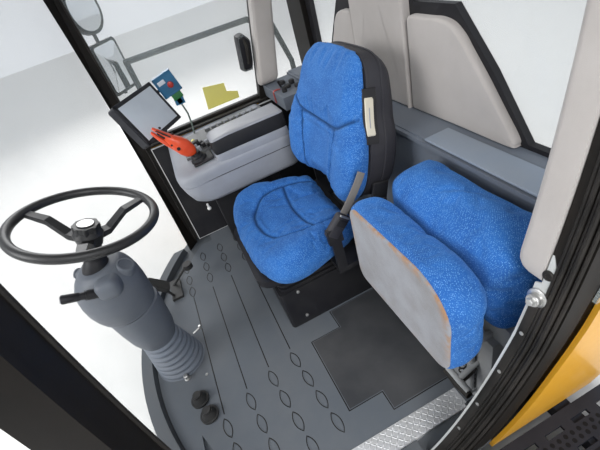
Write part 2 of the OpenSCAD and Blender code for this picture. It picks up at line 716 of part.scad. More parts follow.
module jump_frame() {
    color(light_grey)
        slab(-478, -330, jump_y - jump_width / 2 + 28, jump_y + jump_width / 2 - 28, mat_z + gap, 470);
    color(dark) {
        slab(-478, -350, jump_y - jump_width / 2 + 4, jump_y + jump_width / 2 - 4, 469, 540);
        for (s = [-1, 1]) {
            slab(-360, jump_pivot[0], jump_y + s * 150 - 5, jump_y + s * 150 + 5, 468.2, 487.8);
            translate([jump_pivot[0], jump_y + s * 150 + 5, jump_pivot[1]]) rotate([90, 0, 0])
                cylinder(r = 10, h = 10, $fn = 32);
        }
        translate([jump_pivot[0], jump_y + 150, jump_pivot[1]]) rotate([90, 0, 0])
            cylinder(r = 8, h = 300, $fn = 32);
        bar([-332, jump_y + 130, 340], [-262, jump_y + 136, 322], 8);
        bar([-262, jump_y + 96, 322], [-262, jump_y + 176, 322], 10);
        for (z = [190, 400]) slab(-331, -306, jump_y + 108, jump_y + 132, z, z + 16);
        translate([-318, jump_y + 120, 200]) cylinder(r = 10, h = 206, $fn = 32);
    }
}

module jump_back() color(seat_blue) intersection() {
    translate([-402, jump_y, 540.3]) linear_extrude(250) round_rect(142, jump_width, 56);
    across(jump_y - 300, jump_y + 300) polygon([[-473, 540], [-473, 770], [-458, 789], [-400, 778],
        [-345, 760], [-331, 742], [-331, 540]]);
    barrel(-62);
}

module jump_cushion() {
    color(seat_blue) intersection() {
        across(jump_y - jump_width / 2, jump_y + jump_width / 2) polygon([[-296, 494], [-184, 494],
            [-198, 700], [-206, 752], [-226, 768], [-286, 770], [-312, 750], [-316, 640]]);
        translate([-255, jump_y, 632]) rotate([90, 0, 90]) linear_extrude(150, center = true)
            round_rect(jump_width, 276, 46);
    }
    color(dark) difference() {
        union() {
            slab(jump_pivot[0], -212, jump_y - 120, jump_y + 120, 484, 494.3);
            for (s = [-1, 1]) translate([jump_pivot[0], jump_y + s * 60 + 35, jump_pivot[1]])
                rotate([90, 0, 0]) cylinder(r = 13, h = 70, $fn = 40);
        }
        translate([jump_pivot[0], jump_y + 170, jump_pivot[1]]) rotate([90, 0, 0])
            cylinder(r = 8.5, h = 340, $fn = 32);
    }
}

// Mirrors: arms reach out from the roof's sides to a round and a tall head.
mirror_heads = [[1300, 205, 100], [1035, 180, 24]];
mirror_turn = 40;

module mirror_pair(s, dx) {
    x = corner_x + dx;
    y = s * (half_width + 330);
    tube([[corner_x + 15, s * (half_width - 30), header_z + 90], [corner_x + 15, s * (half_width + 60),
        header_z + 90], [x, s * (half_width + 200), header_z], [x, y, header_z - 110], [x, y, 900]], 9);
    for (h = mirror_heads) translate([x, y, h[0]]) rotate([0, 0, s * mirror_turn]) rotate([0, -90, 0])
        translate([0, 0, -4]) linear_extrude(26) round_rect(h[2] > 50 ? 216 : 248, h[1], h[2]);
}

module mirrors() color(dark) difference() {
    union() {
        mirror_pair(-1, -60);
        mirror_pair(1, 240);
    }
    slab(-900, 900, -half_width - gap, half_width + gap, header_z - 50, header_z + 400);
}

// Rail in side view.
rail_points = [[211, 60], [211, 1035], [-455, 1022], [-585, 960], [-645, 740], [-645, 60]];

module guard_rail() color(dark) {
    y = -half_width - 330;
    tube([for (p = rail_points) [p[0], y, p[1]]], 15);
    for (x = [211, -645]) slab(x - 25, x + 25, y - 20, -frame_y - 45 - gap, 20, 60);
}

module platform() color(dark) {
    y0 = half_width - 8;
    difference() {
        slab(-690, 380, y0, y0 + 518, 86, 98);
        for (i = [0 : 10], j = [0 : 7])
            translate([-665 + i * 92 + (j % 2) * 46, y0 + 30 + j * 58, 80]) cube([58, 14, 30]);
    }
    for (x = [-560, 200]) slab(x, x + 50, frame_y + 45 + gap, y0 + 513, 36, 86);
    for (y = [y0, y0 + 506]) slab(-690, 380, y, y + 12, 60, 86);
}

// The door is drawn shut and swung open about its hinge.
module door_swing() translate([hinge_x, hinge_y, 0]) rotate([0, 0, -door_open])
    translate([-hinge_x, -hinge_y, 0]) children();

module door_frame() color(dark) door_swing() {
    intersection() {
        difference() { barrel(skin + 44); barrel(skin + 17); }
        across(inner_y, wide) difference() { door_outline(30); door_outline(30 - door_bar); }
    }
    for (z = hinge_zs) difference() {
        union() {
            translate([hinge_x, hinge_y, z - 35]) cylinder(r = 20, h = 70, $fn = 40);
            slab(hinge_x - 35, hinge_x, half_width + 40, hinge_y + 8, z - 33, z + 33);
        }
        translate([hinge_x, hinge_y, z - 50]) cylinder(r = 8.5, h = 100, $fn = 32);
        difference() {
            slab(hinge_x - 120, hinge_x + 40, half_width - 120, hinge_y + 40, z - 60, z + 60);
            barrel(skin + 30);
            translate([hinge_x, hinge_y, z - 70]) cylinder(r = 300, h = 200, $fn = 60);
        }
    }
    tube([[-322, half_width + 74, 722], [-272, half_width + 36, 728], [-322, half_width + 36, 942],
        [-366, half_width + 74, 948]], 10);
}

module door_glass() color(clear) door_swing() intersection() {
    difference() { barrel(skin + 44 + gap + 6); barrel(skin + 44 + gap); }
    across(inner_y, wide) door_outline(10);
}

base_frame();
floor_pan();
floor_mat();
translate([0, 0, floor_z + gap]) sill_plate();
foot_controls();
front_posts();
rear_posts();
roof_ring();
windscreen();
side_windows();
rear_windows();
rear_wall();
rear_pads();
rear_ledge();
post_pads();
side_panels();
inner_panels();
door_seal();
roof_shell();
roof_liner();
work_lamps();
column_base();
console_body();
console_armrest();
console_panel();
joystick();
terminal();
controller_box();
controller_cable();
seat_base();
jump_frame();
jump_back();
mirrors();
guard_rail();
platform();
column_head();
steering_wheel();
seat_pan();
seat_cushion();
back_shell();
back_cushion();
jump_cushion();
door_frame();
door_glass();
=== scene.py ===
"""Looks of a forage harvester's cab, seen through its open left door.

Metres, +X forward, +Y left, +Z up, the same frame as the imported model.
"""
import math

import bmesh
import bpy
import numpy as np
from mathutils import Matrix, Vector


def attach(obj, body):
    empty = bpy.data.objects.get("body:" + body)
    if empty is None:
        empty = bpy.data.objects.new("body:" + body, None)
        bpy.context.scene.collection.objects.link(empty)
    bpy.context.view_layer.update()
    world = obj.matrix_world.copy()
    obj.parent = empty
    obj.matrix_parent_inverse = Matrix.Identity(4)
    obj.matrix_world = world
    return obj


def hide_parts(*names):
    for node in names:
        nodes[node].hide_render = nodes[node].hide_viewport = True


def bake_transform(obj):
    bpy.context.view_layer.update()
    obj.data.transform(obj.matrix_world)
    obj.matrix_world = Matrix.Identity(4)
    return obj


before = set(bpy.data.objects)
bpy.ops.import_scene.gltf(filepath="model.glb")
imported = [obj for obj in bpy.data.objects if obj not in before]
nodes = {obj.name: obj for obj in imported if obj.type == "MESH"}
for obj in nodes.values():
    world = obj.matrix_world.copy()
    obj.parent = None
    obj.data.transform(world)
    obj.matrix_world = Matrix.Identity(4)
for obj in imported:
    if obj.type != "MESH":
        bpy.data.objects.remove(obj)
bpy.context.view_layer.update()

# --------------------------------------------------------------- camera


def make_camera():
    """The photograph's viewpoint, just outside the door, looking down and across."""
    cam = bpy.data.objects.new("photo_camera", bpy.data.cameras.new("photo_camera"))
    bpy.context.scene.collection.objects.link(cam)
    right = Vector((-0.8874, 0.3817, -0.2578))
    up = Vector((-0.4317, -0.4928, 0.7557))
    back = Vector((0.1620, 0.7820, 0.6021))
    turn = Matrix((right, up, back)).transposed().to_4x4()
    cam.matrix_world = Matrix.Translation((0.10, 1.13, 1.36)) @ turn
    cam.data.lens = 23.1
    cam.data.sensor_width = 36.0
    cam.data.clip_start = 0.02
    bpy.context.scene.camera = cam


make_camera()

# --------------------------------------------------------------- shader groups

FLOAT, COLOR = "NodeSocketFloat", "NodeSocketColor"


class Net:
    """A small helper that adds nodes to a tree and links them by socket name."""

    def __init__(self, tree):
        self.tree = tree

    def add(self, kind, **values):
        node = self.tree.nodes.new(kind)
        for key, value in values.items():
            setattr(node, key, value)
        return node

    def link(self, a, b):
        self.tree.links.new(a, b)

    def put(self, node, values):
        for key, value in values.items():
            node.inputs[key].default_value = value
        return node


def rgba(c):
    """A colour with full alpha."""
    return (c[0], c[1], c[2], 1.0)


def new_group(name, inputs, outputs):
    """An empty shader group with named sockets: inputs are (name, kind, default)."""
    group = bpy.data.node_groups.new(name, "ShaderNodeTree")
    for label, kind, default in inputs:
        sock = group.interface.new_socket(label, in_out="INPUT", socket_type=kind)
        sock.default_value = default
    for label, kind in outputs:
        group.interface.new_socket(label, in_out="OUTPUT", socket_type=kind)
    net = Net(group)
    return group, net, net.add("NodeGroupInput"), net.add("NodeGroupOutput")


def build_grime():
    """Two colours mixed by cloudy noise, with a roughness that follows and a fine grain height."""
    group, net, gin, gout = new_group(
        "grime",
        [("Clean", COLOR, (0.5, 0.5, 0.5, 1)), ("Dirty", COLOR, (0.3, 0.3, 0.3, 1)),
         ("Patch", FLOAT, 6.0), ("Amount", FLOAT, 0.4), ("Grain", FLOAT, 400.0),
         ("Rough low", FLOAT, 0.4), ("Rough high", FLOAT, 0.6)],
        [("Color", COLOR), ("Roughness", FLOAT), ("Height", FLOAT)])
    where = net.add("ShaderNodeTexCoord")
    cloud = net.put(net.add("ShaderNodeTexNoise"), {"Detail": 6.0, "Roughness": 0.62})
    net.link(where.outputs["Object"], cloud.inputs["Vector"])
    net.link(gin.outputs["Patch"], cloud.inputs["Scale"])
    spread = net.add("ShaderNodeMapRange")
    net.put(spread, {"From Min": 0.38, "From Max": 0.68})
    net.link(cloud.outputs["Fac"], spread.inputs["Value"])
    share = net.add("ShaderNodeMath", operation="MULTIPLY")
    net.link(spread.outputs["Result"], share.inputs[0])
    net.link(gin.outputs["Amount"], share.inputs[1])
    mix = net.add("ShaderNodeMix", data_type="RGBA")
    net.link(share.outputs[0], mix.inputs["Factor"])
    net.link(gin.outputs["Clean"], mix.inputs[6])
    net.link(gin.outputs["Dirty"], mix.inputs[7])
    net.link(mix.outputs[2], gout.inputs["Color"])
    rough = net.add("ShaderNodeMapRange")
    net.link(cloud.outputs["Fac"], rough.inputs["Value"])
    net.link(gin.outputs["Rough low"], rough.inputs["To Min"])
    net.link(gin.outputs["Rough high"], rough.inputs["To Max"])
    net.link(rough.outputs["Result"], gout.inputs["Roughness"])
    grain = net.put(net.add("ShaderNodeTexNoise"), {"Detail": 3.0})
    net.link(where.outputs["Object"], grain.inputs["Vector"])
    net.link(gin.outputs["Grain"], grain.inputs["Scale"])
    net.link(grain.outputs["Fac"], gout.inputs["Height"])
    return group


def build_flecks():
    """Light flecks on a cloth: cells of a nearly even grid, stretched a little, each with a
    small bright middle; the mask is 1 inside a fleck."""
    group, net, gin, gout = new_group(
        "flecks", [("Scale", FLOAT, 120.0), ("Size", FLOAT, 0.25), ("Even", FLOAT, 0.45)],
        [("Mask", FLOAT), ("Cell", FLOAT)])
    where = net.add("ShaderNodeTexCoord")
    place = net.add("ShaderNodeMapping")
    net.put(place, {"Rotation": (0.5, 0.6, 0.7), "Scale": (1.0, 1.35, 0.85)})
    net.link(where.outputs["Object"], place.inputs["Vector"])
    cells = net.add("ShaderNodeTexVoronoi")
    net.link(place.outputs["Vector"], cells.inputs["Vector"])
    net.link(gin.outputs["Scale"], cells.inputs["Scale"])
    net.link(gin.outputs["Even"], cells.inputs["Randomness"])
    edge = net.add("ShaderNodeMath", operation="SUBTRACT")
    net.link(gin.outputs["Size"], edge.inputs[0])
    net.link(cells.outputs["Distance"], edge.inputs[1])
    steep = net.add("ShaderNodeMath", operation="MULTIPLY", use_clamp=True)
    net.put(steep, {1: 9.0})
    net.link(edge.outputs[0], steep.inputs[0])
    net.link(steep.outputs[0], gout.inputs["Mask"])
    bright = net.add("ShaderNodeSeparateColor")
    net.link(cells.outputs["Color"], bright.inputs["Color"])
    net.link(bright.outputs["Red"], gout.inputs["Cell"])
    return group


GRIME = build_grime()
FLECKS = build_flecks()

# --------------------------------------------------------------- materials


def coated(name, clean, dirty, patch=6.0, amount=0.4, grain=400.0, rough=(0.4, 0.6),
           bump=0.1, depth=0.0005, metallic=0.0, coat=0.0, sheen=0.0, specular=0.5):
    """A painted, moulded or rubber finish made with the grime group."""
    mat = bpy.data.materials.new(name)
    mat.use_nodes = True
    net = Net(mat.node_tree)
    shader = mat.node_tree.nodes["Principled BSDF"]
    net.put(shader, {"Metallic": metallic, "Coat Weight": coat, "Coat Roughness": 0.12,
                     "Sheen Weight": sheen, "Specular IOR Level": specular})
    g = net.add("ShaderNodeGroup", node_tree=GRIME)
    net.put(g, {"Clean": rgba(clean), "Dirty": rgba(dirty), "Patch": patch, "Amount": amount,
                "Grain": grain, "Rough low": rough[0], "Rough high": rough[1]})
    net.link(g.outputs["Color"], shader.inputs["Base Color"])
    net.link(g.outputs["Roughness"], shader.inputs["Roughness"])
    relief = net.put(net.add("ShaderNodeBump"), {"Strength": bump, "Distance": depth})
    net.link(g.outputs["Height"], relief.inputs["Height"])
    net.link(relief.outputs["Normal"], shader.inputs["Normal"])
    return mat


def base_color(mat):
    """A material's net, its shader, and the socket that feeds its base colour."""
    shader = mat.node_tree.nodes["Principled BSDF"]
    return Net(mat.node_tree), shader, shader.inputs["Base Color"].links[0].from_socket


def tinted(net, source, mask, tone):
    """A colour socket mixed towards a tone where a mask is high."""
    mix = net.add("ShaderNodeMix", data_type="RGBA")
    net.link(mask, mix.inputs["Factor"])
    net.link(source, mix.inputs[6])
    net.put(mix, {7: rgba(tone)})
    return mix.outputs[2]


def plush(name, base, deep, light):
    """Flecked plush: cloudy blue, pale flecks of uneven strength, darker sewn lines."""
    mat = coated(name, base, deep, patch=9.0, amount=0.85, grain=1500.0, rough=(0.82, 0.95),
                 bump=0.45, depth=0.0006, sheen=0.35, specular=0.25)
    net, shader, source = base_color(mat)
    net.put(shader, {"Sheen Tint": rgba(light)})
    fleck = net.add("ShaderNodeGroup", node_tree=FLECKS)
    net.put(fleck, {"Scale": 330.0, "Size": 0.42, "Even": 0.6})
    fade = net.add("ShaderNodeMath", operation="MULTIPLY")
    net.link(fleck.outputs["Mask"], fade.inputs[0])
    net.link(fleck.outputs["Cell"], fade.inputs[1])
    cloth = tinted(net, source, fade.outputs[0], light)
    seam = net.add("ShaderNodeAttribute", attribute_name="seam")
    cloth = tinted(net, cloth, seam.outputs["Fac"], [c * 0.35 for c in base])
    net.link(cloth, shader.inputs["Base Color"])
    return mat


def add_wear(mat, tone):
    """Brown wear where the point value `worn` is high, broken up by noise in the part's space."""
    net, shader, source = base_color(mat)
    mark = net.add("ShaderNodeAttribute", attribute_name="worn")
    where = net.add("ShaderNodeTexCoord")
    cloud = net.put(net.add("ShaderNodeTexNoise"), {"Scale": 38.0, "Detail": 3.0})
    net.link(where.outputs["Object"], cloud.inputs["Vector"])
    spots = net.put(net.add("ShaderNodeMapRange"), {"From Min": 0.42, "From Max": 0.62})
    net.link(cloud.outputs["Fac"], spots.inputs["Value"])
    both = net.add("ShaderNodeMath", operation="MULTIPLY")
    net.link(mark.outputs["Fac"], both.inputs[0])
    net.link(spots.outputs["Result"], both.inputs[1])
    net.link(tinted(net, source, both.outputs[0], tone), shader.inputs["Base Color"])


def clear_glass(name, tint=(0.72, 0.80, 0.80), alpha=0.16):
    """Window glass: mostly see-through, a little haze and dust."""
    mat = bpy.data.materials.new(name)
    mat.use_nodes = True
    net = Net(mat.node_tree)
    shader = mat.node_tree.nodes["Principled BSDF"]
    net.put(shader, {"Base Color": rgba(tint), "Roughness": 0.06, "IOR": 1.45})
    where = net.add("ShaderNodeTexCoord")
    cloud = net.put(net.add("ShaderNodeTexNoise"), {"Scale": 3.0, "Detail": 5.0})
    net.link(where.outputs["Object"], cloud.inputs["Vector"])
    haze = net.put(net.add("ShaderNodeMapRange"), {"To Min": alpha * 0.7, "To Max": alpha * 1.4})
    net.link(cloud.outputs["Fac"], haze.inputs["Value"])
    net.link(haze.outputs["Result"], shader.inputs["Alpha"])
    return mat


GLASS = clear_glass("window_glass")

# Finishes of the CAD nodes, by node: name, clean and dirty colour, and what differs from plain.
NODE_FINISHES = {
    "base_frame": ("frame_black", (0.03, 0.03, 0.032), (0.09, 0.08, 0.07),
                   dict(rough=(0.45, 0.7))),
    "floor_pan": ("pan_grey", (0.072, 0.082, 0.094), (0.105, 0.104, 0.102),
                  dict(rough=(0.5, 0.8))),
    # floor_mat: the clean colour is lighter and bluer than the rubber itself, a painted reflection
    # of the sky on the mat
    "floor_mat": ("mat_rubber_painted_sky", (0.088, 0.101, 0.118), (0.120, 0.128, 0.138),
                  dict(patch=5.0, amount=0.6, grain=900.0, rough=(0.55, 0.8), bump=0.25)),
    "sill_plate": ("chequer_aluminium", (0.74, 0.75, 0.77), (0.50, 0.49, 0.47),
                   dict(metallic=0.55, rough=(0.25, 0.45), amount=0.5)),
    "foot_controls": ("pedal_rubber", (0.02, 0.02, 0.02), (0.07, 0.065, 0.06),
                      dict(rough=(0.5, 0.75))),
    "front_posts": ("post_paint", (0.008, 0.007, 0.006), (0.024, 0.019, 0.016),
                    dict(rough=(0.42, 0.62), specular=0.16)),
    "platform": ("platform_steel", (0.013, 0.014, 0.020), (0.034, 0.034, 0.040),
                 dict(rough=(0.5, 0.7), specular=0.2)),
    "roof_liner": ("liner_cloth", (0.50, 0.48, 0.45), (0.40, 0.38, 0.35),
                   dict(rough=(0.8, 0.95), sheen=0.2)),
    "side_panels": ("body_yellow", (0.72, 0.36, 0.022), (0.50, 0.25, 0.04),
                    dict(amount=0.25, rough=(0.32, 0.46), coat=0.2)),
    "inner_panels": ("inner_grey", (0.70, 0.71, 0.72), (0.46, 0.45, 0.43), dict()),
    "column_head": ("column_grey", (0.098, 0.113, 0.138), (0.155, 0.16, 0.17),
                    dict(grain=1200.0, rough=(0.42, 0.6), bump=0.3)),
    "column_base": ("boot_rubber", (0.135, 0.158, 0.195), (0.165, 0.172, 0.185),
                    dict(rough=(0.5, 0.7))),
    "console_body": ("console_grey", (0.295, 0.312, 0.352), (0.205, 0.212, 0.225),
                     dict(grain=1400.0, rough=(0.42, 0.6), bump=0.25)),
    "console_panel": ("panel_grey", (0.11, 0.115, 0.12), (0.17, 0.17, 0.165),
                      dict(rough=(0.45, 0.6))),
    "console_armrest": ("armrest_skin", (0.010, 0.010, 0.012), (0.032, 0.032, 0.032),
                        dict(grain=700.0, rough=(0.5, 0.66), bump=0.4, specular=0.35)),
    "joystick": ("joystick_red", (0.72, 0.075, 0.02), (0.42, 0.05, 0.02),
                 dict(rough=(0.25, 0.4))),
    "terminal": ("terminal_black", (0.014, 0.015, 0.020), (0.045, 0.045, 0.05),
                 dict(rough=(0.35, 0.5), specular=0.3)),
    "controller_box": ("box_blue", (0.012, 0.13, 0.27), (0.03, 0.10, 0.16),
                       dict(rough=(0.3, 0.45))),
    "controller_cable": ("cable_green", (0.13, 0.17, 0.15), (0.09, 0.10, 0.09),
                         dict(rough=(0.5, 0.6))),
    "rear_ledge": ("ledge_blue", (0.135, 0.158, 0.195), (0.18, 0.19, 0.205),
                   dict(rough=(0.45, 0.6))),
    "rear_wall": ("wall_black", (0.012, 0.012, 0.015), (0.034, 0.033, 0.034),
                  dict(rough=(0.45, 0.65), specular=0.3)),
    "steering_wheel": ("wheel_black", (0.014, 0.014, 0.015), (0.04, 0.04, 0.04),
                       dict(grain=900.0, rough=(0.36, 0.5))),
    "seat_base": ("base_black", (0.011, 0.011, 0.014), (0.040, 0.039, 0.038),
                  dict(specular=0.28)),
    "jump_frame": ("jump_grey", (0.30, 0.31, 0.32), (0.20, 0.19, 0.175), dict()),
    "seat_cushion": ("plush_blue", (0.03, 0.16, 0.50), (0.02, 0.10, 0.36),
                     dict(grain=500.0, rough=(0.8, 0.95), sheen=0.4)),
    "pads": ("felt_beige", (0.46, 0.43, 0.41), (0.36, 0.33, 0.31),
             dict(grain=900.0, rough=(0.85, 0.95), sheen=0.3, bump=0.5)),
}
# Nodes that share the finish of another.
ALIKE = {
    "front_posts": ["rear_posts", "roof_ring", "door_seal", "door_frame", "guard_rail",
                    "mirrors", "work_lamps"],
    "side_panels": ["roof_shell"],
    "seat_base": ["seat_pan", "back_shell"],
    "seat_cushion": ["back_cushion", "jump_cushion", "jump_back"],
    "pads": ["rear_pads", "post_pads"],
}
PANES = ("windscreen", "side_windows", "rear_windows", "door_glass")
# Finishes of the trim, in the same columns.
TRIM_FINISHES = {
    "carpet": ("carpet_grey", (0.265, 0.272, 0.30), (0.19, 0.185, 0.185),
               dict(patch=14.0, amount=0.7, grain=1100.0, rough=(0.9, 0.98), bump=0.6,
                    sheen=0.25)),
    "skin": ("shell_skin", (0.020, 0.020, 0.026), (0.048, 0.046, 0.050),
             dict(grain=1500.0, rough=(0.45, 0.62), bump=0.4, specular=0.35)),
    "rubber": ("seal_rubber", (0.011, 0.010, 0.009), (0.045, 0.039, 0.034),
               dict(patch=10.0, amount=0.5, rough=(0.4, 0.65), specular=0.25)),
    "steel": ("bright_steel", (0.62, 0.62, 0.61), (0.36, 0.34, 0.31),
              dict(patch=30.0, metallic=0.9, rough=(0.25, 0.5))),
    "liner": ("post_liner", (0.50, 0.52, 0.52), (0.33, 0.32, 0.30),
              dict(patch=9.0, amount=0.6, rough=(0.35, 0.55))),
    # painted shade: near black for the step's perforations, standing in for the dark seen through
    # them
    "hole": ("hole_shade_black", (0.004, 0.004, 0.005), (0.012, 0.012, 0.013),
             dict(rough=(0.7, 0.9), bump=0.0, specular=0.2)),
    "ledge_pad": ("ledge_pad", (0.23, 0.275, 0.34), (0.30, 0.32, 0.345), dict(rough=(0.5, 0.65))),
    "lid": ("mat_lid", (0.030, 0.032, 0.036), (0.070, 0.070, 0.072),
            dict(patch=5.0, amount=0.6, grain=900.0, rough=(0.5, 0.75), bump=0.25)),
    "screen": ("screen_pale", (0.62, 0.68, 0.74), (0.50, 0.55, 0.60),
               dict(patch=4.0, amount=0.6, grain=100.0, rough=(0.16, 0.26), bump=0.0)),
    "green": ("plug_green", (0.03, 0.20, 0.055), (0.03, 0.11, 0.04), dict(rough=(0.3, 0.45))),
    "red": ("button_red", (0.45, 0.03, 0.02), (0.3, 0.03, 0.02), dict(rough=(0.25, 0.4))),
    "pale": ("pale_plastic", (0.62, 0.62, 0.60), (0.48, 0.47, 0.44), dict(rough=(0.35, 0.5))),
    "cream": ("belt_guide_cream", (0.60, 0.56, 0.46), (0.42, 0.38, 0.30), dict(rough=(0.3, 0.45))),
    "yellow": ("plate_yellow", (0.88, 0.80, 0.20), (0.76, 0.70, 0.26), dict(rough=(0.4, 0.55))),
    "webbing": ("belt_webbing", (0.135, 0.125, 0.115), (0.20, 0.19, 0.175),
                dict(grain=1800.0, rough=(0.7, 0.85), bump=0.5)),
    "arm_top": ("armrest_top", (0.285, 0.295, 0.325), (0.215, 0.215, 0.222),
                dict(grain=900.0, rough=(0.34, 0.5), bump=0.3)),
    "mirror": ("mirror_glass", (0.75, 0.78, 0.80), (0.60, 0.62, 0.63),
               dict(metallic=1.0, rough=(0.04, 0.12), bump=0.0)),
    "lens": ("lamp_lens", (0.72, 0.74, 0.74), (0.55, 0.55, 0.52),
             dict(rough=(0.08, 0.2), bump=0.05)),
}
LOOK = {key: coated(name, clean, dirty, **more)
        for table in (NODE_FINISHES, TRIM_FINISHES)
        for key, (name, clean, dirty, more) in table.items()}
LOOK["black"] = LOOK["seat_base"]
LOOK["plush"] = plush("plush_blue_flecked", (0.020, 0.118, 0.385), (0.011, 0.072, 0.270),
                      (0.135, 0.315, 0.62))
add_wear(LOOK["carpet"], (0.30, 0.17, 0.09))


def dress(node, mat):
    """Give a carried-over CAD node its finish."""
    slots = nodes[node].data.materials
    slots.clear()
    slots.append(mat)


for key in NODE_FINISHES:
    for node in ([key] if key in nodes else []) + ALIKE.get(key, []):
        dress(node, LOOK[key])
for pane in PANES:
    dress(pane, GLASS)

# --------------------------------------------------------------- shapes

HALF_WIDTH, SIDE_RADIUS, MID_Z = 0.82, 3.6, 0.85


def side_y(z):
    """Inside half width of the cab at a height: a circle of 3.6 m about the elbow line."""
    return HALF_WIDTH - SIDE_RADIUS + np.sqrt(SIDE_RADIUS ** 2 - (np.asarray(z) - MID_Z) ** 2)


def piece(name, verts, faces, body, finish, crease=35.0):
    """A mesh from points and faces, welded, with outward normals, that rides on a body."""
    mesh = bpy.data.meshes.new(name)
    mesh.from_pydata(np.asarray(verts, float).tolist(), [], faces)
    bm = bmesh.new()
    bm.from_mesh(mesh)
    bmesh.ops.remove_doubles(bm, verts=bm.verts, dist=1e-6)
    bmesh.ops.dissolve_degenerate(bm, edges=bm.edges, dist=1e-7)
    bmesh.ops.recalc_face_normals(bm, faces=bm.faces)
    bm.to_mesh(mesh)
    bm.free()
    mesh.shade_smooth()
    if crease:
        mesh.set_sharp_from_angle(angle=math.radians(crease))
    mesh.materials.append(LOOK[finish])
    ob = bpy.data.objects.new(name, mesh)
    bpy.context.scene.collection.objects.link(ob)
    if body:
        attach(ob, body)
    return ob


def gather(parts):
    """Several (points, faces) pairs as one."""
    verts, faces, base = [], [], 0
    for v, f in parts:
        verts.append(np.asarray(v, float))
        faces += [tuple(i + base for i in face) for face in f]
        base += len(v)
    return np.vstack(verts), faces


def loft(rings):
    """Closed rings of equal length joined by quads, both ends closed with a fan to their middle."""
    n = len(rings[0])
    verts = np.vstack(list(rings) + [np.mean(rings[0], axis=0)[None],
                                     np.mean(rings[-1], axis=0)[None]])
    last = (len(rings) - 1) * n
    j = np.arange(n)
    k = (j + 1) % n
    low = np.arange(len(rings) - 1)[:, None] * n
    sides = np.stack([low + j, low + k, low + n + k, low + n + j], axis=-1).reshape(-1, 4)
    first_end = np.column_stack([np.full(n, last + n), k, j])
    last_end = np.column_stack([np.full(n, last + n + 1), last + j, last + k])
    return verts, sides.tolist() + np.stack([first_end, last_end], axis=1).reshape(-1, 3).tolist()


def smooth_line(points, per=8, closed=False):
    """A Catmull-Rom curve through points, `per` steps a span."""
    p = np.asarray(points, float)
    n = len(p)
    t = np.arange(per)[:, None] / per
    out = []
    for i in range(n if closed else n - 1):
        a = p[(i - 1) % n] if closed or i > 0 else 2 * p[0] - p[1]
        b, c = p[i], p[(i + 1) % n]
        d = p[(i + 2) % n] if closed or i < n - 2 else 2 * p[-1] - p[-2]
        out.append(0.5 * (2 * b + (c - a) * t + (2 * a - 5 * b + 4 * c - d) * t * t
                          + (3 * b - a - 3 * c + d) * t ** 3))
    return np.vstack(out if closed else out + [p[-1:]])


def arc_corners(corners, per, inset=0.0):
    """An outline of quarter circles: rows are centre u, centre v, radius, first angle."""
    out = []
    for cu, cv, r, first in corners:
        t = np.radians(first + np.linspace(0, 90, per))
        out.append(np.column_stack([cu + (r - inset) * np.cos(t), cv + (r - inset) * np.sin(t)]))
    return np.vstack(out)


def frames(path, up=None):
    """Tangent and two cross directions along a path, carried without twist, or kept on `up`."""
    p = np.asarray(path, float)
    t = np.gradient(p, axis=0)
    t /= np.linalg.norm(t, axis=1)[:, None]
    a = np.zeros_like(p)
    carried = np.array([0.0, 0.0, 1.0]) if abs(t[0][2]) < 0.9 else np.array([1.0, 0.0, 0.0])
    for i in range(len(p)):
        want = carried if up is None else np.asarray(up, float)
        v = want - t[i] * np.dot(want, t[i])
        a[i] = carried = v / np.linalg.norm(v)
    return t, a, np.cross(t, a)


def rod(path, radius, n=12):
    """A round tube swept along a path; radius is one number or one a point."""
    p = np.asarray(path, float)
    _, a, b = frames(p)
    r = np.broadcast_to(np.asarray(radius, float), len(p))
    ang = np.linspace(0, 2 * np.pi, n, endpoint=False)
    return loft([p[i] + r[i] * (np.cos(ang)[:, None] * a[i] + np.sin(ang)[:, None] * b[i])
                 for i in range(len(p))])


def strip(path, up, width, thick, corner=0.35):
    """A bar of rounded oblong section swept along a path: `thick` along up, `width` across it."""
    p = np.asarray(path, float)
    _, a, b = frames(p, up)
    w, h, r = width / 2, thick / 2, corner * min(width, thick)
    prof = arc_corners([((w - r), (h - r), r, 0), (-(w - r), (h - r), r, 90),
                        (-(w - r), -(h - r), r, 180), ((w - r), -(h - r), r, 270)], 4)
    return loft([p[i] + prof[:, :1] * b[i] + prof[:, 1:] * a[i] for i in range(len(p))])


def block(lo, hi, r=0.003, turn=None, about=None):
    """A box with rounded edges: grid points on its faces are pulled onto a sphere of radius r
    about the nearest point of the box shrunk by r."""
    lo, hi = np.asarray(lo, float), np.asarray(hi, float)
    r = min(r, 0.499 * float(np.min(hi - lo)))
    steps = np.array([0.0, 0.29, 0.62, 1.0])
    m = 2 * len(steps)
    i, j = (k.ravel() for k in np.meshgrid(np.arange(m - 1), np.arange(m - 1), indexing="ij"))
    quad = np.column_stack([i * m + j, (i + 1) * m + j, (i + 1) * m + j + 1, i * m + j + 1])
    verts, faces = [], []
    for axis in range(3):
        u, v = [k for k in range(3) if k != axis]
        gu, gv = (np.concatenate([lo[k] + r * steps, hi[k] - r * steps[::-1]]) for k in (u, v))
        for end in (lo, hi):
            p = np.empty((m * m, 3))
            p[:, axis], p[:, u], p[:, v] = end[axis], np.repeat(gu, m), np.tile(gv, m)
            core = np.clip(p, lo + r, hi - r)
            d = p - core
            faces += (quad + m * m * len(verts)).tolist()
            verts.append(core + r * d / np.linalg.norm(d, axis=1)[:, None])
    verts = np.vstack(verts)
    if turn is not None:
        centre = (lo + hi) / 2 if about is None else np.asarray(about, float)
        verts = (verts - centre) @ np.array(turn).T + centre
    return verts, faces


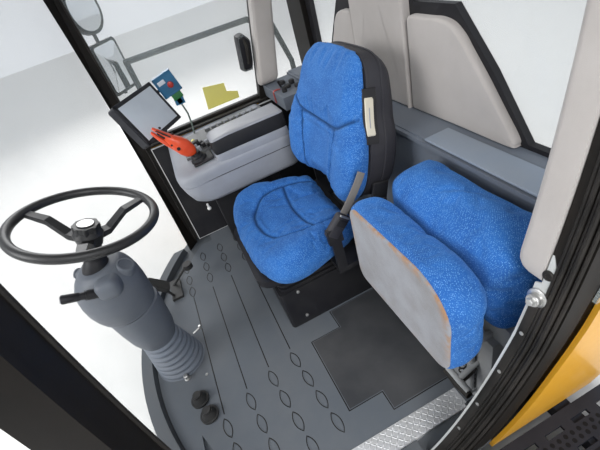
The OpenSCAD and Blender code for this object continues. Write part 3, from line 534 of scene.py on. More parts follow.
def turned(profile, n=48, at=(0, 0, 0), axis=(0, 0, 1)):
    """A profile of (radius, height) pairs turned about an axis through a point."""
    z = np.asarray(axis, float) / np.linalg.norm(axis)
    x = np.cross(z, [0, 1, 0]) if abs(z[1]) < 0.9 else np.cross(z, [1, 0, 0])
    x /= np.linalg.norm(x)
    y = np.cross(z, x)
    ang = np.linspace(0, 2 * np.pi, n, endpoint=False)
    ring = np.cos(ang)[:, None] * x + np.sin(ang)[:, None] * y
    return loft([np.asarray(at, float) + max(r, 1e-5) * ring + h * z for r, h in profile])


def turn_matrix(axis, degrees):
    """A turn about an axis through the origin, as three rows."""
    return np.array(Matrix.Rotation(math.radians(degrees), 3, Vector(axis)))


def placed(part, turn, at):
    """A part's points turned about the origin and moved to a place."""
    return part[0] @ turn.T + np.asarray(at, float), part[1]


def lean(points, pivot, degrees):
    """Points turned about the cross axis through a pivot given as (x, z)."""
    c = np.array([pivot[0], 0.0, pivot[1]])
    return (np.asarray(points, float) - c) @ turn_matrix((0, 1, 0), degrees).T + c


def scaled(outline, k):
    """An outline drawn in towards its middle by one factor."""
    mid = np.mean(outline, axis=0)
    return mid + (np.asarray(outline, float) - mid) * k


def drawn_in(outline, inset):
    """An outline drawn in towards its middle by a distance."""
    mid = outline.mean(axis=0)
    d = outline - mid
    size = np.linalg.norm(d, axis=1)[:, None]
    return mid + d * (1 - inset / np.maximum(size, inset + 1e-3))


def line_distance(uv, line):
    """Distance of each point in the plane to a polyline."""
    line = np.asarray(line, float)
    best = np.full(len(uv), 1e9)
    for a, b in zip(line[:-1], line[1:]):
        ab = b - a
        t = np.clip(((uv - a) @ ab) / max(float(ab @ ab), 1e-12), 0, 1)
        best = np.minimum(best, np.linalg.norm(uv - (a + t[:, None] * ab), axis=1))
    return best


def mirrored(line):
    """A half line from the side to the middle, with its other half added."""
    line = np.asarray(line, float)
    return np.vstack([line, (line * [1, -1])[::-1]])


# --------------------------------------------------------------- soft goods

RECLINE, BACK_LEAN = (-0.345, 0.600), -15.0
JUMP_MID = 0.556
TOP_PLANE = np.array([[1.0, 0, 0], [0, 1.0, 0]])
REAR_PLANE = np.array([[0, 1.0, 0], [0, 0, 1.0]])


def dome(outline, low, high, round_low, round_high, rings=10, bulge=0.006):
    """A closed cushion over a plan outline. The side rises from the underside `low` with round
    edges and a small bulge, and the top follows high(x, y) while the outline shrinks to its
    middle."""
    p = np.asarray(outline, float)
    mid = p.mean(axis=0)
    far = np.linalg.norm(p - mid, axis=1)[:, None]
    unit = (p - mid) / far
    rows = []

    def ring(inset, height):
        q = mid + unit * np.maximum(far - inset, far * 0.02)
        rows.append(np.column_stack([q, height(q)]))

    for s in np.linspace(0.98, 0.2, 5):
        ring(far * s, lambda q: np.full(len(q), low))
    for th in np.radians([0, 22, 45, 68, 90]):
        ring(round_low * (1 - math.sin(th)),
             lambda q, th=th: np.full(len(q), low + round_low * (1 - math.cos(th))))
    for s in (0.25, 0.5, 0.75):
        ring(-bulge * math.sin(math.pi * s),
             lambda q, s=s: (low + round_low) * (1 - s) + (high(q) - round_high) * s)
    for th in np.radians([0, 18, 36, 54, 72, 90]):
        ring(round_high * (1 - math.cos(th)),
             lambda q, th=th: high(q) - round_high * (1 - math.sin(th)))
    for s in np.linspace(0.1, 0.98, rings):
        ring(round_high + (far - round_high) * s, high)
    return loft(rows)


def seat_shape():
    """Driver's cushion: a plan that is widest ahead of the middle and tapers to the back, a
    dished middle and a raised, rounded rim, falling away at the front."""
    half = [(0.083, 0.0), (0.080, 0.115), (0.058, 0.205), (0.018, 0.255), (-0.05, 0.266),
            (-0.15, 0.240), (-0.25, 0.203), (-0.283, 0.150)]
    plan = smooth_line(half + [(x, -y) for x, y in half[:0:-1]], 7, closed=True)

    def high(q):
        x, y = q[:, 0], np.abs(q[:, 1])
        base = np.interp(x, [-0.29, -0.2, -0.06, 0.02, 0.06, 0.09],
                         [0.574, 0.586, 0.600, 0.590, 0.568, 0.548])
        dish = 0.034 * np.exp(-(np.clip(y / 0.150, 0, 3)) ** 4) * np.clip((0.045 - x) / 0.06, 0, 1)
        return base - dish

    return dome(plan, 0.4835, high, 0.020, 0.042, bulge=0.004)


SEAT_SEAMS = [
    mirrored(smooth_line([(-0.29, 0.128), (-0.20, 0.150), (-0.10, 0.152), (-0.035, 0.125),
                          (0.004, 0.065), (0.014, 0.0)], 6)),
    smooth_line([(-0.150, 0.150), (-0.138, 0.08), (-0.131, 0.0), (-0.138, -0.08),
                 (-0.150, -0.150)], 5),
]


def back_shape():
    """Driver's backrest, upright before it leans: wings at the lower sides, waisted above the
    shoulders, and a head roll that thins towards a round top."""
    half = [(0.0, 0.612), (0.12, 0.610), (0.196, 0.622), (0.238, 0.680), (0.244, 0.760),
            (0.232, 0.830), (0.204, 0.885), (0.190, 0.950), (0.168, 1.008), (0.118, 1.040),
            (0.0, 1.046)]
    plan = smooth_line(half + [(-y, z) for y, z in half[-2:0:-1]], 7, closed=True)

    def high(q):
        y, z = np.abs(q[:, 0]), q[:, 1]
        base = np.interp(z, [0.60, 0.66, 0.78, 0.85, 0.90, 1.00, 1.05],
                         [-0.236, -0.220, -0.222, -0.236, -0.246, -0.262, -0.276])
        dish = 0.030 * np.exp(-(np.clip(y / 0.125, 0, 3)) ** 4) * np.clip((0.86 - z) / 0.06, 0, 1)
        return base - dish

    verts, faces = dome(plan, -0.2975, high, 0.014, 0.034, bulge=0.004)
    return np.column_stack([verts[:, 2], verts[:, 0], verts[:, 1]]), faces


BACK_SEAMS = [
    mirrored(smooth_line([(0.60, 0.098), (0.68, 0.108), (0.76, 0.118), (0.83, 0.128)],
                         6))[:, ::-1],
    smooth_line([(-0.215, 0.885), (-0.128, 0.838), (0.0, 0.830), (0.128, 0.838),
                 (0.215, 0.885)], 6),
]


def jump_outline(y0, y1, z0, z1, per, inset=0.0):
    """Plan of the tipped-up cushion: one wide upper corner and three small ones."""
    return arc_corners([(y1 - 0.105, z1 - 0.105, 0.105, 0), (y0 + 0.045, z1 - 0.045, 0.045, 90),
                        (y0 + 0.04, z0 + 0.04, 0.04, 180), (y1 - 0.04, z0 + 0.04, 0.04, 270)],
                       per, inset)


def jump_shape():
    """Jump seat's cushion, tipped up: a tall pad whose upper left corner is cut to a wide
    curve, crowned to the rear and flat to the front."""
    def high(q):
        return np.interp(q[:, 1], [0.50, 0.60, 0.70, 0.77], [0.298, 0.308, 0.304, 0.286])

    verts, faces = dome(jump_outline(0.356, 0.756, 0.500, 0.768, 12), 0.198, high, 0.010, 0.044,
                        bulge=0.003)
    verts = np.column_stack([-verts[:, 2], verts[:, 0], verts[:, 1]])
    verts[:, 0] += 0.010 * np.clip((0.60 - verts[:, 2]) / 0.1, 0, 1)
    return verts, [f[::-1] for f in faces]


def jump_back_shape():
    """Jump seat's backrest: an upright pad with a soft round top, a little higher at the rear."""
    half = [(-0.326, 0.0), (-0.327, 0.13), (-0.333, 0.180), (-0.360, 0.199), (-0.43, 0.201),
            (-0.462, 0.190), (-0.474, 0.13), (-0.475, 0.0)]
    plan = smooth_line(half + [(x, -y) for x, y in half[-2:0:-1]], 7, closed=True)
    plan[:, 1] = JUMP_MID + np.where(plan[:, 1] < 0, plan[:, 1] * 1.05, plan[:, 1])

    def high(q):
        x, y = q[:, 0], np.abs(q[:, 1] - JUMP_MID)
        crown = np.interp(x, [-0.475, -0.44, -0.38, -0.325], [0.788, 0.791, 0.787, 0.778])
        return crown - 0.008 * (y / 0.2) ** 4

    return dome(plan, 0.5425, high, 0.012, 0.030, bulge=0.003)


def settle(ob):
    """Apply an object's modifiers to its mesh."""
    shown = ob.evaluated_get(bpy.context.evaluated_depsgraph_get())
    mesh = bpy.data.meshes.new_from_object(shown)
    ob.modifiers.clear()
    old = ob.data
    ob.data = mesh
    mesh.name = old.name
    bpy.data.meshes.remove(old)
    mesh.shade_smooth()


def remeshed(name, verts, faces, body, finish, voxel):
    """The start shape as an even net of points, ready to simulate."""
    ob = piece(name, verts, faces, body, finish, crease=None)
    mod = ob.modifiers.new("even", "REMESH")
    mod.mode = "VOXEL"
    mod.voxel_size = voxel
    settle(ob)
    return ob


def coords(mesh, key="co"):
    """A mesh's points, or their normals, as rows."""
    out = np.empty(len(mesh.vertices) * 3)
    mesh.vertices.foreach_get(key, out)
    return out.reshape(-1, 3)


def sewn_points(co, nor, plane, lines, facing, fixed):
    """Weights of the points that hold still: those near a seam on the face that shows, and
    those where the pad is fixed, as `fixed` says of a column and a test on it."""
    weight = np.zeros(len(co))
    if lines:
        near = np.min([line_distance(co @ plane.T, line) for line in lines], axis=0)
        weight[(near < 0.005) & (nor @ np.asarray(facing, float) > 0.2)] = 1.0
    column, test = fixed
    weight[test(co[:, column])] = 1.0
    return weight


def inflate(jobs):
    """Cloth recipe: every pad is blown up for 20 frames at once, held where it is sewn down,
    and each point's movement is capped."""
    start = {}
    for ob, plane, lines, facing, fixed, _ in jobs:
        start[ob] = coords(ob.data).copy()
        group = ob.vertex_groups.new(name="sewn")
        weight = sewn_points(start[ob], coords(ob.data, "normal"), plane, lines, facing, fixed)
        group.add(np.nonzero(weight)[0].tolist(), 1.0, "REPLACE")
        mod = ob.modifiers.new("cloth", "CLOTH")
        s = mod.settings
        s.quality, s.mass = 5, 0.3
        s.tension_stiffness = s.compression_stiffness = 12
        s.shear_stiffness, s.bending_stiffness = 5, 0.6
        s.use_pressure, s.uniform_pressure_force = True, 4.0
        s.effector_weights.gravity = 0
        s.vertex_group_mass = "sewn"
        s.shrink_min = -0.035
        mod.collision_settings.use_collision = False
        mod.point_cache.frame_start, mod.point_cache.frame_end = 1, 20
    scene = bpy.context.scene
    for f in range(1, 21):
        scene.frame_set(f)
    graph = bpy.context.evaluated_depsgraph_get()
    done = {job[0]: coords(job[0].evaluated_get(graph).data).copy() for job in jobs}
    for ob, *_, cap in jobs:
        ob.modifiers.clear()
        move = done[ob] - start[ob]
        size = np.linalg.norm(move, axis=1)[:, None]
        move *= np.minimum(1.0, cap / np.maximum(size, 1e-9))
        ob.data.vertices.foreach_set("co", (start[ob] + move).ravel())
        ob.data.update()
        ob.vertex_groups.clear()
    scene.frame_set(1)


def stitch(ob, plane, lines, facing, depth=0.005, width=0.0045, puff=0.0025):
    """Sink a sewn channel along lines drawn in a plane, with the cloth a little proud beside it."""
    mod = ob.modifiers.new("finer", "SUBSURF")
    mod.levels = mod.render_levels = 1
    settle(ob)
    co, nor = coords(ob.data), coords(ob.data, "normal")
    near = np.full(len(co), 9.0)
    if lines:
        near = np.min([line_distance(co @ plane.T, line) for line in lines], axis=0)
    face = np.clip((nor @ np.asarray(facing, float) - 0.15) / 0.3, 0, 1)
    sink = depth * np.exp(-(near / width) ** 2) - puff * np.exp(-((near - 0.013) / 0.008) ** 2)
    co -= nor * (sink * face)[:, None]
    ob.data.vertices.foreach_set("co", co.ravel())
    ob.data.update()
    layer = ob.data.attributes.new("seam", "FLOAT", "POINT")
    layer.data.foreach_set("value", (np.exp(-(near / 0.005) ** 2) * face).astype(np.float32))


def make_cushions():
    """The four plush pads: an even net, blown up together, then stitched along their seams."""
    seat = remeshed("seat_pad", *seat_shape(), "seat", "plush", 0.0068)
    back = remeshed("back_pad", *back_shape(), "backrest", "plush", 0.0066)
    jump = remeshed("jump_pad", *jump_shape(), "jump", "plush", 0.0068)
    rest = remeshed("jump_back_pad", *jump_back_shape(), "cab", "plush", 0.0068)
    # pad, plane of its seams, seams, way it faces, (column, test) of its fixed side, cap
    jobs = [
        (seat, TOP_PLANE, SEAT_SEAMS, (0, 0, 1), (2, lambda z: z < 0.500), 0.009),
        (back, REAR_PLANE, BACK_SEAMS, (1, 0, 0), (0, lambda x: x < -0.285), 0.009),
        (jump, REAR_PLANE, [], (-1, 0, 0), (0, lambda x: x > -0.215), 0.010),
        (rest, TOP_PLANE, [], (0, 0, 1), (2, lambda z: z < 0.56), 0.009),
    ]
    inflate(jobs)
    for ob, plane, lines, facing, _, _ in jobs:
        stitch(ob, plane, lines, facing)
    back.data.vertices.foreach_set("co", lean(coords(back.data), RECLINE, BACK_LEAN).ravel())
    back.data.update()
    for ob, node, fill in ((seat, "seat_cushion", 0.75), (back, "back_cushion", 0.75),
                           (jump, "jump_cushion", 0.8), (rest, "jump_back", 0.8)):
        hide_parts(node)


# --------------------------------------------------------------- seats and column

WHEEL_HUB, WHEEL_LEAN = (0.472, 0, 0.855), math.radians(19)
WHEEL_AXIS = np.array([-math.sin(WHEEL_LEAN), 0, math.cos(WHEEL_LEAN)])


def make_jump_trim():
    """Carpeted underside of the tipped-up cushion and its hinge plates."""
    y0, y1, z0, z1 = 0.362, 0.750, 0.504, 0.762
    corner = 0.105
    rings = []
    for x, inset in ((-0.2030, 0.0), (-0.1965, 0.0), (-0.1945, 0.003), (-0.1940, 0.010),
                     (-0.1940, 0.022), (-0.1940, 0.036)):
        q = jump_outline(y0, y1, z0, z1, 10, inset)
        rings.append(np.column_stack([x + 0.008 * np.maximum(0.0, (0.60 - q[:, 1]) / 0.1), q]))
    carpet = piece("jump_carpet", *loft(rings), "jump", "carpet")
    y, z = coords(carpet.data)[:, 1:].T
    rim = np.minimum(np.minimum(y - y0, y1 - y), np.minimum(z - z0, z1 - z))
    far = np.hypot(y - (y1 - corner), z - (z1 - corner))
    rim = np.where((y > y1 - corner) & (z > z1 - corner), corner - far, rim)
    worn = np.clip(1 - rim / 0.026, 0, 1) * (0.35 + 0.65 * (z > 0.60))
    carpet.data.attributes.new("worn", "FLOAT", "POINT").data.foreach_set("value", worn)
    plates = []
    for s in (-1, 1):
        y = JUMP_MID + s * 0.12
        plates.append(block((-0.312, y - 0.022, 0.4845), (-0.205, y + 0.022, 0.4985), 0.003))
        y = JUMP_MID + s * 0.06
        plates.append(turned([(0.0086, -0.032), (0.013, -0.032), (0.013, 0.032),
                              (0.0086, 0.032)], 32, (-0.312, y, 0.478), (0, 1, 0)))
        plates.append(block((-0.312, y - 0.030, 0.478), (-0.292, y + 0.030, 0.497), 0.002))
    plates.append(block((-0.300, 0.416, 0.4865), (-0.210, 0.696, 0.4985), 0.002))
    piece("jump_hinge", *gather(plates), "jump", "black")


def make_jump_catch():
    """Black handle and two coil springs under the tipped-up seat, in front of its frame."""
    parts = [rod([(-0.318, 0.690, 0.330), (-0.290, 0.694, 0.322), (-0.262, 0.696, 0.316)],
                 0.0085, 14),
             rod([(-0.258, 0.650, 0.318), (-0.256, 0.696, 0.314), (-0.258, 0.738, 0.318)],
                 [0.010, 0.012, 0.010], 16)]
    t = np.linspace(0, 1, 90)
    coil, angle = 0.010, 16 * np.pi * t
    for y in (0.640, 0.672):
        parts.append(rod(np.column_stack([-0.322 + coil * np.cos(angle),
                                          y + coil * np.sin(angle), 0.215 + 0.18 * t]), 0.0026, 8))
    piece("jump_catch", *gather(parts), "cab", "rubber")


def make_column():
    """Moulded column: a lower cone, a seam, a rounder head that tops out round the neck, and
    the boss with the stalk and knobs on it."""
    # height, radius, middle
    rows = np.array([
        (0.302, 0.058, 0.517), (0.306, 0.064, 0.517), (0.33, 0.0735, 0.5175),
        (0.36, 0.0815, 0.5185), (0.42, 0.0885, 0.520), (0.47, 0.0925, 0.5205),
        (0.494, 0.0935, 0.521), (0.499, 0.0925, 0.521), (0.5005, 0.089, 0.5215),
        (0.502, 0.093, 0.529), (0.508, 0.0965, 0.530), (0.53, 0.1025, 0.533),
        (0.56, 0.1070, 0.535), (0.595, 0.1078, 0.535), (0.625, 0.1050, 0.5335),
        (0.650, 0.0985, 0.531), (0.672, 0.0885, 0.527), (0.688, 0.0765, 0.5235),
        (0.697, 0.0640, 0.5215), (0.700, 0.050, 0.520)])
    z = rows[:, 0]
    fine = np.unique(np.concatenate([z, np.linspace(0.31, 0.49, 12),
                                     np.linspace(0.51, 0.695, 20)]))
    rad, mid = np.interp(fine, z, rows[:, 1]), np.interp(fine, z, rows[:, 2])
    ang = np.linspace(0, 2 * np.pi, 72, endpoint=False)
    body = loft([np.column_stack([m + r * np.cos(ang), r * 0.985 * np.sin(ang), np.full(72, h)])
                 for h, r, m in zip(fine, rad, mid)])
    cover = piece("column_cover", *body, "column", "column_head")
    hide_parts("column_head")
    neck = turned([(0.046, -0.182), (0.044, -0.168), (0.036, -0.150), (0.032, -0.140),
                   (0.0295, -0.137), (0.028, -0.131), (0.0275, -0.099), (0.014, -0.097),
                   (0.013, -0.040)], 48, WHEEL_HUB, WHEEL_AXIS)
    piece("column_neck", *neck, "column", "black")
    boss = [block((0.470, 0.045, 0.628), (0.546, 0.1155, 0.693), 0.024,
                  turn_matrix((0, 0, 1), -6)),
            turned([(0.012, -0.02), (0.030, -0.02), (0.029, 0.006), (0.0265, 0.012),
                    (0.0225, 0.0135), (0.0205, 0.0105), (0.010, 0.0100)], 44,
                   (0.449, 0.034, 0.672), (-0.55, 0.22, 0.80)),
            block((0.436, 0.008, 0.640), (0.500, 0.058, 0.686), 0.018,
                  turn_matrix((0, 1, 0), -24))]
    piece("stalk_boss", *gather(boss), "column", "column_head", crease=45.0)
    make_stalk()
    knob = turned([(0.006, -0.02), (0.0205, -0.02), (0.0205, 0.010), (0.0175, 0.013),
                   (0.0175, 0.019), (0.0195, 0.021), (0.0185, 0.026), (0.008, 0.027)], 40,
                  (0.604, -0.070, 0.646), (0.78, -0.58, 0.22))
    dial = turned([(0.017, -0.012), (0.017, 0.012), (0.0155, 0.0155), (0.009, 0.016)], 32,
                  (0.576, -0.044, 0.676), (0.57, -0.1, 0.81))
    piece("column_knobs", *gather([knob, dial]), "column", "column_head")


def make_stalk():
    """Stalk on the column's boss: rods of changing radius along one line, with five ribs."""
    root, tip = np.array([0.544, 0.092, 0.664]), np.array([0.632, 0.100, 0.703])

    def span(shares, radius):
        return rod([root + k * (tip - root) for k in shares], radius, 20)

    stalk = [span((-0.1, 0.26), 0.0145), span((0.14, 0.52), [0.0125, 0.0108]),
             span((0.46, 0.50, 0.93, 0.97), [0.0108, 0.0128, 0.0142, 0.0125])]
    stalk += [span((k, k + 0.025), 0.0158) for k in np.linspace(0.08, 0.30, 5)]
    piece("stalk", *gather(stalk), "column", "black")
    piece("stalk_end", *span((0.96, 0.995, 1.0), [0.0108, 0.0108, 0.0085]), "column", "arm_top")


def make_boot():
    """Rubber bellows: the radius waves with height while it narrows from the floor to the
    column."""
    t = np.linspace(0, 1, 120)
    wave = np.abs(np.sin(np.pi * 7 * t)) ** 0.7
    r = 0.0965 - 0.0275 * t - 0.0095 * (1 - wave)
    r[:2] = 0.0985
    ang = np.linspace(0, 2 * np.pi, 64, endpoint=False)
    rings = [np.column_stack([m + q * np.cos(ang), q * np.sin(ang), np.full(64, h)])
             for h, q, m in zip(0.1405 + 0.172 * t, r, 0.505 + 0.0115 * t)]
    boot = piece("boot", *loft(rings), None, "column_base")
    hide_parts("column_base")
    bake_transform(boot)


def make_wheel():
    """Silver disc on the steering wheel's hub."""
    disc = turned([(0.010, -0.0118), (0.0225, -0.0118), (0.0235, -0.0112), (0.0225, -0.0104),
                   (0.012, -0.0102)], 48, WHEEL_HUB, WHEEL_AXIS)
    piece("hub_disc", *disc, "wheel", "steel")


def make_shell():
    """Backrest shell: the plan of the pad, thickest at the shoulders and rounded to the rear,
    with piping round it and the arms of its hinge."""
    half = [(0.0, 0.610), (0.12, 0.611), (0.190, 0.625), (0.226, 0.682), (0.238, 0.760),
            (0.228, 0.830), (0.202, 0.885), (0.187, 0.950), (0.166, 1.006), (0.117, 1.038),
            (0.0, 1.044)]
    plan = smooth_line(half + [(-y, z) for y, z in half[-2:0:-1]], 6, closed=True)

    def high(q):
        return np.interp(q[:, 1], [0.60, 0.64, 0.70, 0.90, 1.00, 1.05],
                         [0.374, 0.394, 0.402, 0.400, 0.388, 0.372])

    verts, faces = dome(plan, 0.3000, high, 0.006, 0.030, bulge=0.0)
    verts = lean(np.column_stack([-verts[:, 2], verts[:, 0], verts[:, 1]]), RECLINE, BACK_LEAN)
    shell = piece("back_skin", verts, faces, "backrest", "skin")
    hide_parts("back_shell")
    edge = np.vstack([plan, plan[:1]])
    piping = []
    for x, grow in ((-0.3035, 1.004), (-0.352, 1.003)):
        q = plan.mean(axis=0) + (edge - plan.mean(axis=0)) * grow
        piping.append(rod(lean(np.column_stack([np.full(len(q), x), q]), RECLINE, BACK_LEAN),
                          0.0028, 8))
    piece("back_piping", *gather(piping), "backrest", "skin")
    arms = [block((-0.372, y - 0.006, 0.580), (-0.318, y + 0.006, 0.690), 0.004)
            for y in (-0.235, 0.235)]
    piece("back_arms", *gather([(lean(v, RECLINE, BACK_LEAN), f) for v, f in arms]),
          "backrest", "black")


def make_belt_guide():
    """Belt guide on the shell's left side: bars with bevelled edges that follow the pad's edge,
    a wide dark frame, the cream guide and its slot."""
    line = [(0.2260, 0.838), (0.2235, 0.842), (0.2130, 0.862), (0.2060, 0.884), (0.2000, 0.908),
            (0.1945, 0.932), (0.1915, 0.937)]
    longer = [(0.2330, 0.815)] + line + [(0.1880, 0.960)]
    for name, x0, x1, out, path, finish in (
            ("belt_guide", -0.3165, -0.2885, 0.0085, line, "cream"),
            ("belt_slot", -0.3050, -0.2985, 0.0092, line[1:-1], "arm_top"),
            ("belt_frame", -0.3290, -0.2840, 0.0050, longer, "black")):
        rings = []
        for i, (y, z) in enumerate(path):
            k = 0.6 if i in (0, len(path) - 1) else 1.0
            m, h = (x0 + x1) / 2, (x1 - x0) / 2 * (0.9 + 0.1 * k)
            low, bevel, top = y - 0.006, y + out * k - 0.002, y + out * k
            rings.append(np.array([(m - h, low, z), (m - h, bevel, z), (m - h + 0.002, top, z),
                                   (m + h - 0.002, top, z), (m + h, bevel, z), (m + h, low, z)]))
        verts, faces = loft(rings)
        piece(name, lean(verts, RECLINE, BACK_LEAN), faces, "backrest", finish)


def make_belt():
    """Strap from behind the shell down to the buckle on the seat's left side, with the buckle,
    and the tag and bolts on the seat and its base."""
    path = smooth_line([(-0.296, 0.268, 0.770), (-0.276, 0.272, 0.744), (-0.250, 0.274, 0.712),
                        (-0.226, 0.275, 0.684), (-0.206, 0.276, 0.664)], 5)
    piece("belt_strap", *strip(path, (0.15, 1.0, 0.1), 0.024, 0.003), "seat", "webbing")
    turn, about = turn_matrix((0, 1, 0), -46), (-0.183, 0.275, 0.637)
    for name, lo, hi, r, finish in (
            ("belt_buckle", (-0.208, 0.262, 0.594), (-0.158, 0.288, 0.680), 0.011, "skin"),
            ("buckle_edge", (-0.202, 0.2855, 0.671), (-0.164, 0.2895, 0.677), 0.0015, "steel"),
            ("buckle_button", (-0.200, 0.2865, 0.640), (-0.166, 0.2905, 0.664), 0.0018, "black")):
        piece(name, *block(lo, hi, r, turn, about), "seat", finish)
    piece("seat_tag", *block((-0.085, 0.196, 0.4815), (-0.018, 0.199, 0.505), 0.001), "seat",
          "pale")
    bolts = [turned([(0.002, 0), (0.0065, 0), (0.0065, 0.005), (0.004, 0.0065)], 16, p, (0, 1, 0))
             for p in ((-0.017, 0.1340, 0.318), (-0.250, 0.1340, 0.318), (-0.017, 0.1340, 0.180))]
    piece("base_bolts", *gather(bolts), "cab", "steel")


# --------------------------------------------------------------- console and controls


def console_ring(z, inset):
    """Plan of the console's pod at a height: straight rear and inner sides, round front corners."""
    front = np.interp(z, [0.534, 0.545, 0.56, 0.60, 0.65, 0.685, 0.697, 0.7018],
                      [0.158, 0.176, 0.190, 0.205, 0.2160, 0.2165, 0.210, 0.196]) - inset
    rear, inner, outer = -0.300 + inset, -0.338 - inset, -0.809
    r = 0.075
    ring = [(rear, outer), (rear, inner - 0.02), (rear + 0.006, inner - 0.006),
            (rear + 0.02, inner)]
    ring += [(x, inner) for x in np.linspace(rear + 0.05, front - r, 8)]
    ring += [(front - r + r * math.sin(t), inner - r + r * math.cos(t))
             for t in np.radians(np.linspace(8, 90, 11))]
    ring += [(front - 0.0015 * k, y)
             for k, y in enumerate(np.linspace(inner - r - 0.03, outer, 8))]
    return np.column_stack([np.array(ring), np.full(len(ring), z)])


def make_console():
    """Console pod: a plan with a round front corner carried up with soft edges, a parting line,
    a sloping nose, and the leg under it."""
    rows = []
    for z, inset in ((0.534, 0.045), (0.5345, 0.030), (0.538, 0.016), (0.546, 0.006),
                     (0.558, 0.001), (0.60, 0.0), (0.638, 0.0), (0.6395, 0.0025),
                     (0.6415, 0.0025), (0.643, 0.0), (0.665, 0.0), (0.682, 0.001),
                     (0.692, 0.005), (0.698, 0.012), (0.7012, 0.022), (0.7018, 0.034)):
        ring = console_ring(z, inset)
        nose = np.clip((ring[:, 0] - 0.03) / 0.17, 0, 1)
        ring[:, 2] -= nose * np.clip((z - 0.60) / 0.10, 0, 1) * 0.012
        rows.append(ring)
    pod = piece("console_pod", *loft(rows), "cab", "console_body", crease=50.0)
    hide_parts("console_body")
    groove = console_ring(0.6405, 0.0016)[2:-7]
    piece("console_groove", *rod(groove, 0.0013, 8), "cab", "black")
    piece("console_leg", *block((-0.240, -0.735, 0.1405), (0.110, -0.561, 0.545), 0.010), "cab",
          "black")
    knob = turned([(0.003, 0), (0.0045, 0.001), (0.0045, 0.018), (0.008, 0.020), (0.009, 0.026),
                   (0.006, 0.031)], 20, (0.147, -0.352, 0.541), (0, 0, -1))
    piece("console_knob", *knob, "cab", "pale")


def make_armrest():
    """Armrest: a grey plinth, a black padded band with soft corners and a pale moulded top."""
    outline = [(-0.288, -0.355), (-0.282, -0.345), (-0.26, -0.3395), (-0.10, -0.3415),
               (-0.01, -0.343), (0.020, -0.346), (0.029, -0.356), (0.030, -0.385),
               (0.029, -0.43), (0.018, -0.452), (-0.01, -0.460), (-0.26, -0.468),
               (-0.286, -0.458)]
    plan = smooth_line(outline, 4, closed=True)

    def layers(*rows):
        rings = []
        for z, inset in rows:
            q = drawn_in(plan, inset)
            drop = 0.006 * np.clip((q[:, 0] + 0.04) / 0.06, 0, 1) * (z - 0.70) / 0.09
            rings.append(np.column_stack([q, z - drop]))
        return loft(rings)

    plinth = layers((0.690, -0.001), (0.705, -0.001), (0.7215, 0.0), (0.7245, 0.002),
                    (0.7255, 0.006))
    piece("armrest_plinth", *plinth, "cab", "console_body")
    side = layers((0.7252, 0.006), (0.7262, 0.002), (0.730, 0.0), (0.75, -0.001), (0.782, 0.0),
                  (0.7865, 0.002))
    side = piece("armrest_pad", *side, "cab", "console_armrest")
    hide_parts("console_armrest")
    cover = layers((0.7855, 0.004), (0.7865, 0.0005), (0.789, 0.0005), (0.7925, 0.004),
                   (0.7945, 0.011), (0.7952, 0.024), (0.7956, 0.045))
    piece("armrest_cover", *cover, "cab", "arm_top")


def make_switches():
    """Rows of small keys and rocker switches on the console's panel, and levers by the
    joystick."""
    pale = [block((x, -0.702, 0.7145), (x + 0.023, -0.678, 0.7275), 0.003)
            for x in -0.262 + 0.031 * np.arange(9)]
    keys = [block((x, -0.662, 0.7145), (x + 0.023, -0.640, 0.7245), 0.003)
            for x in -0.235 + 0.031 * np.arange(6)]
    tip = turn_matrix((0, 1, 0), 6)
    for k, (x, y) in enumerate([(0.05, -0.52), (0.075, -0.50), (0.055, -0.55), (0.085, -0.54),
                                (0.03, -0.50), (0.03, -0.54), (0.10, -0.51)]):
        key = block((x - 0.009, y - 0.009, 0.7105), (x + 0.009, y + 0.009, 0.730), 0.003, tip)
        (pale if k % 2 else keys).append(key)
    piece("panel_keys", *gather(keys), "cab", "black")
    piece("panel_switches", *gather(pale), "cab", "console_body")
    cap = turned([(0.004, 0), (0.009, 0), (0.009, 0.012), (0.006, 0.016)], 24,
                 (0.083, -0.618, 0.7085), (0.1, 0, 1))
    piece("yellow_cap", *cap, "cab", "yellow")
    for name, lo, hi, degrees in (
            ("lever_block", (0.062, -0.575, 0.7030), (0.100, -0.540, 0.737), 4),
            ("joystick_plate", (0.035, -0.470, 0.7000), (0.125, -0.380, 0.7095), 5)):
        piece(name, *block(lo, hi, 0.006, turn_matrix((0, 1, 0), degrees)), "cab", "black")


def blade(points, wide, deep, y):
    """A bar of squarish round section along points (x, z, shift in y), with half widths and half
    depths spread evenly along it."""
    path = smooth_line([(x, y + dy, z) for x, z, dy in points], 6)
    t, k = np.linspace(0, 1, len(path)), np.linspace(0, 1, len(wide))
    w, d = np.interp(t, k, wide), np.interp(t, k, deep)
    _, a, b = frames(path, (0, 1, 0))
    ang = np.linspace(0, 2 * np.pi, 28, endpoint=False)
    c, q = np.cos(ang), np.sin(ang)
    c, q = np.sign(c) * np.abs(c) ** 0.8, np.sign(q) * np.abs(q) ** 0.8
    return loft([path[i] + w[i] * c[:, None] * a[i] + d[i] * q[:, None] * b[i]
                 for i in range(len(path))])


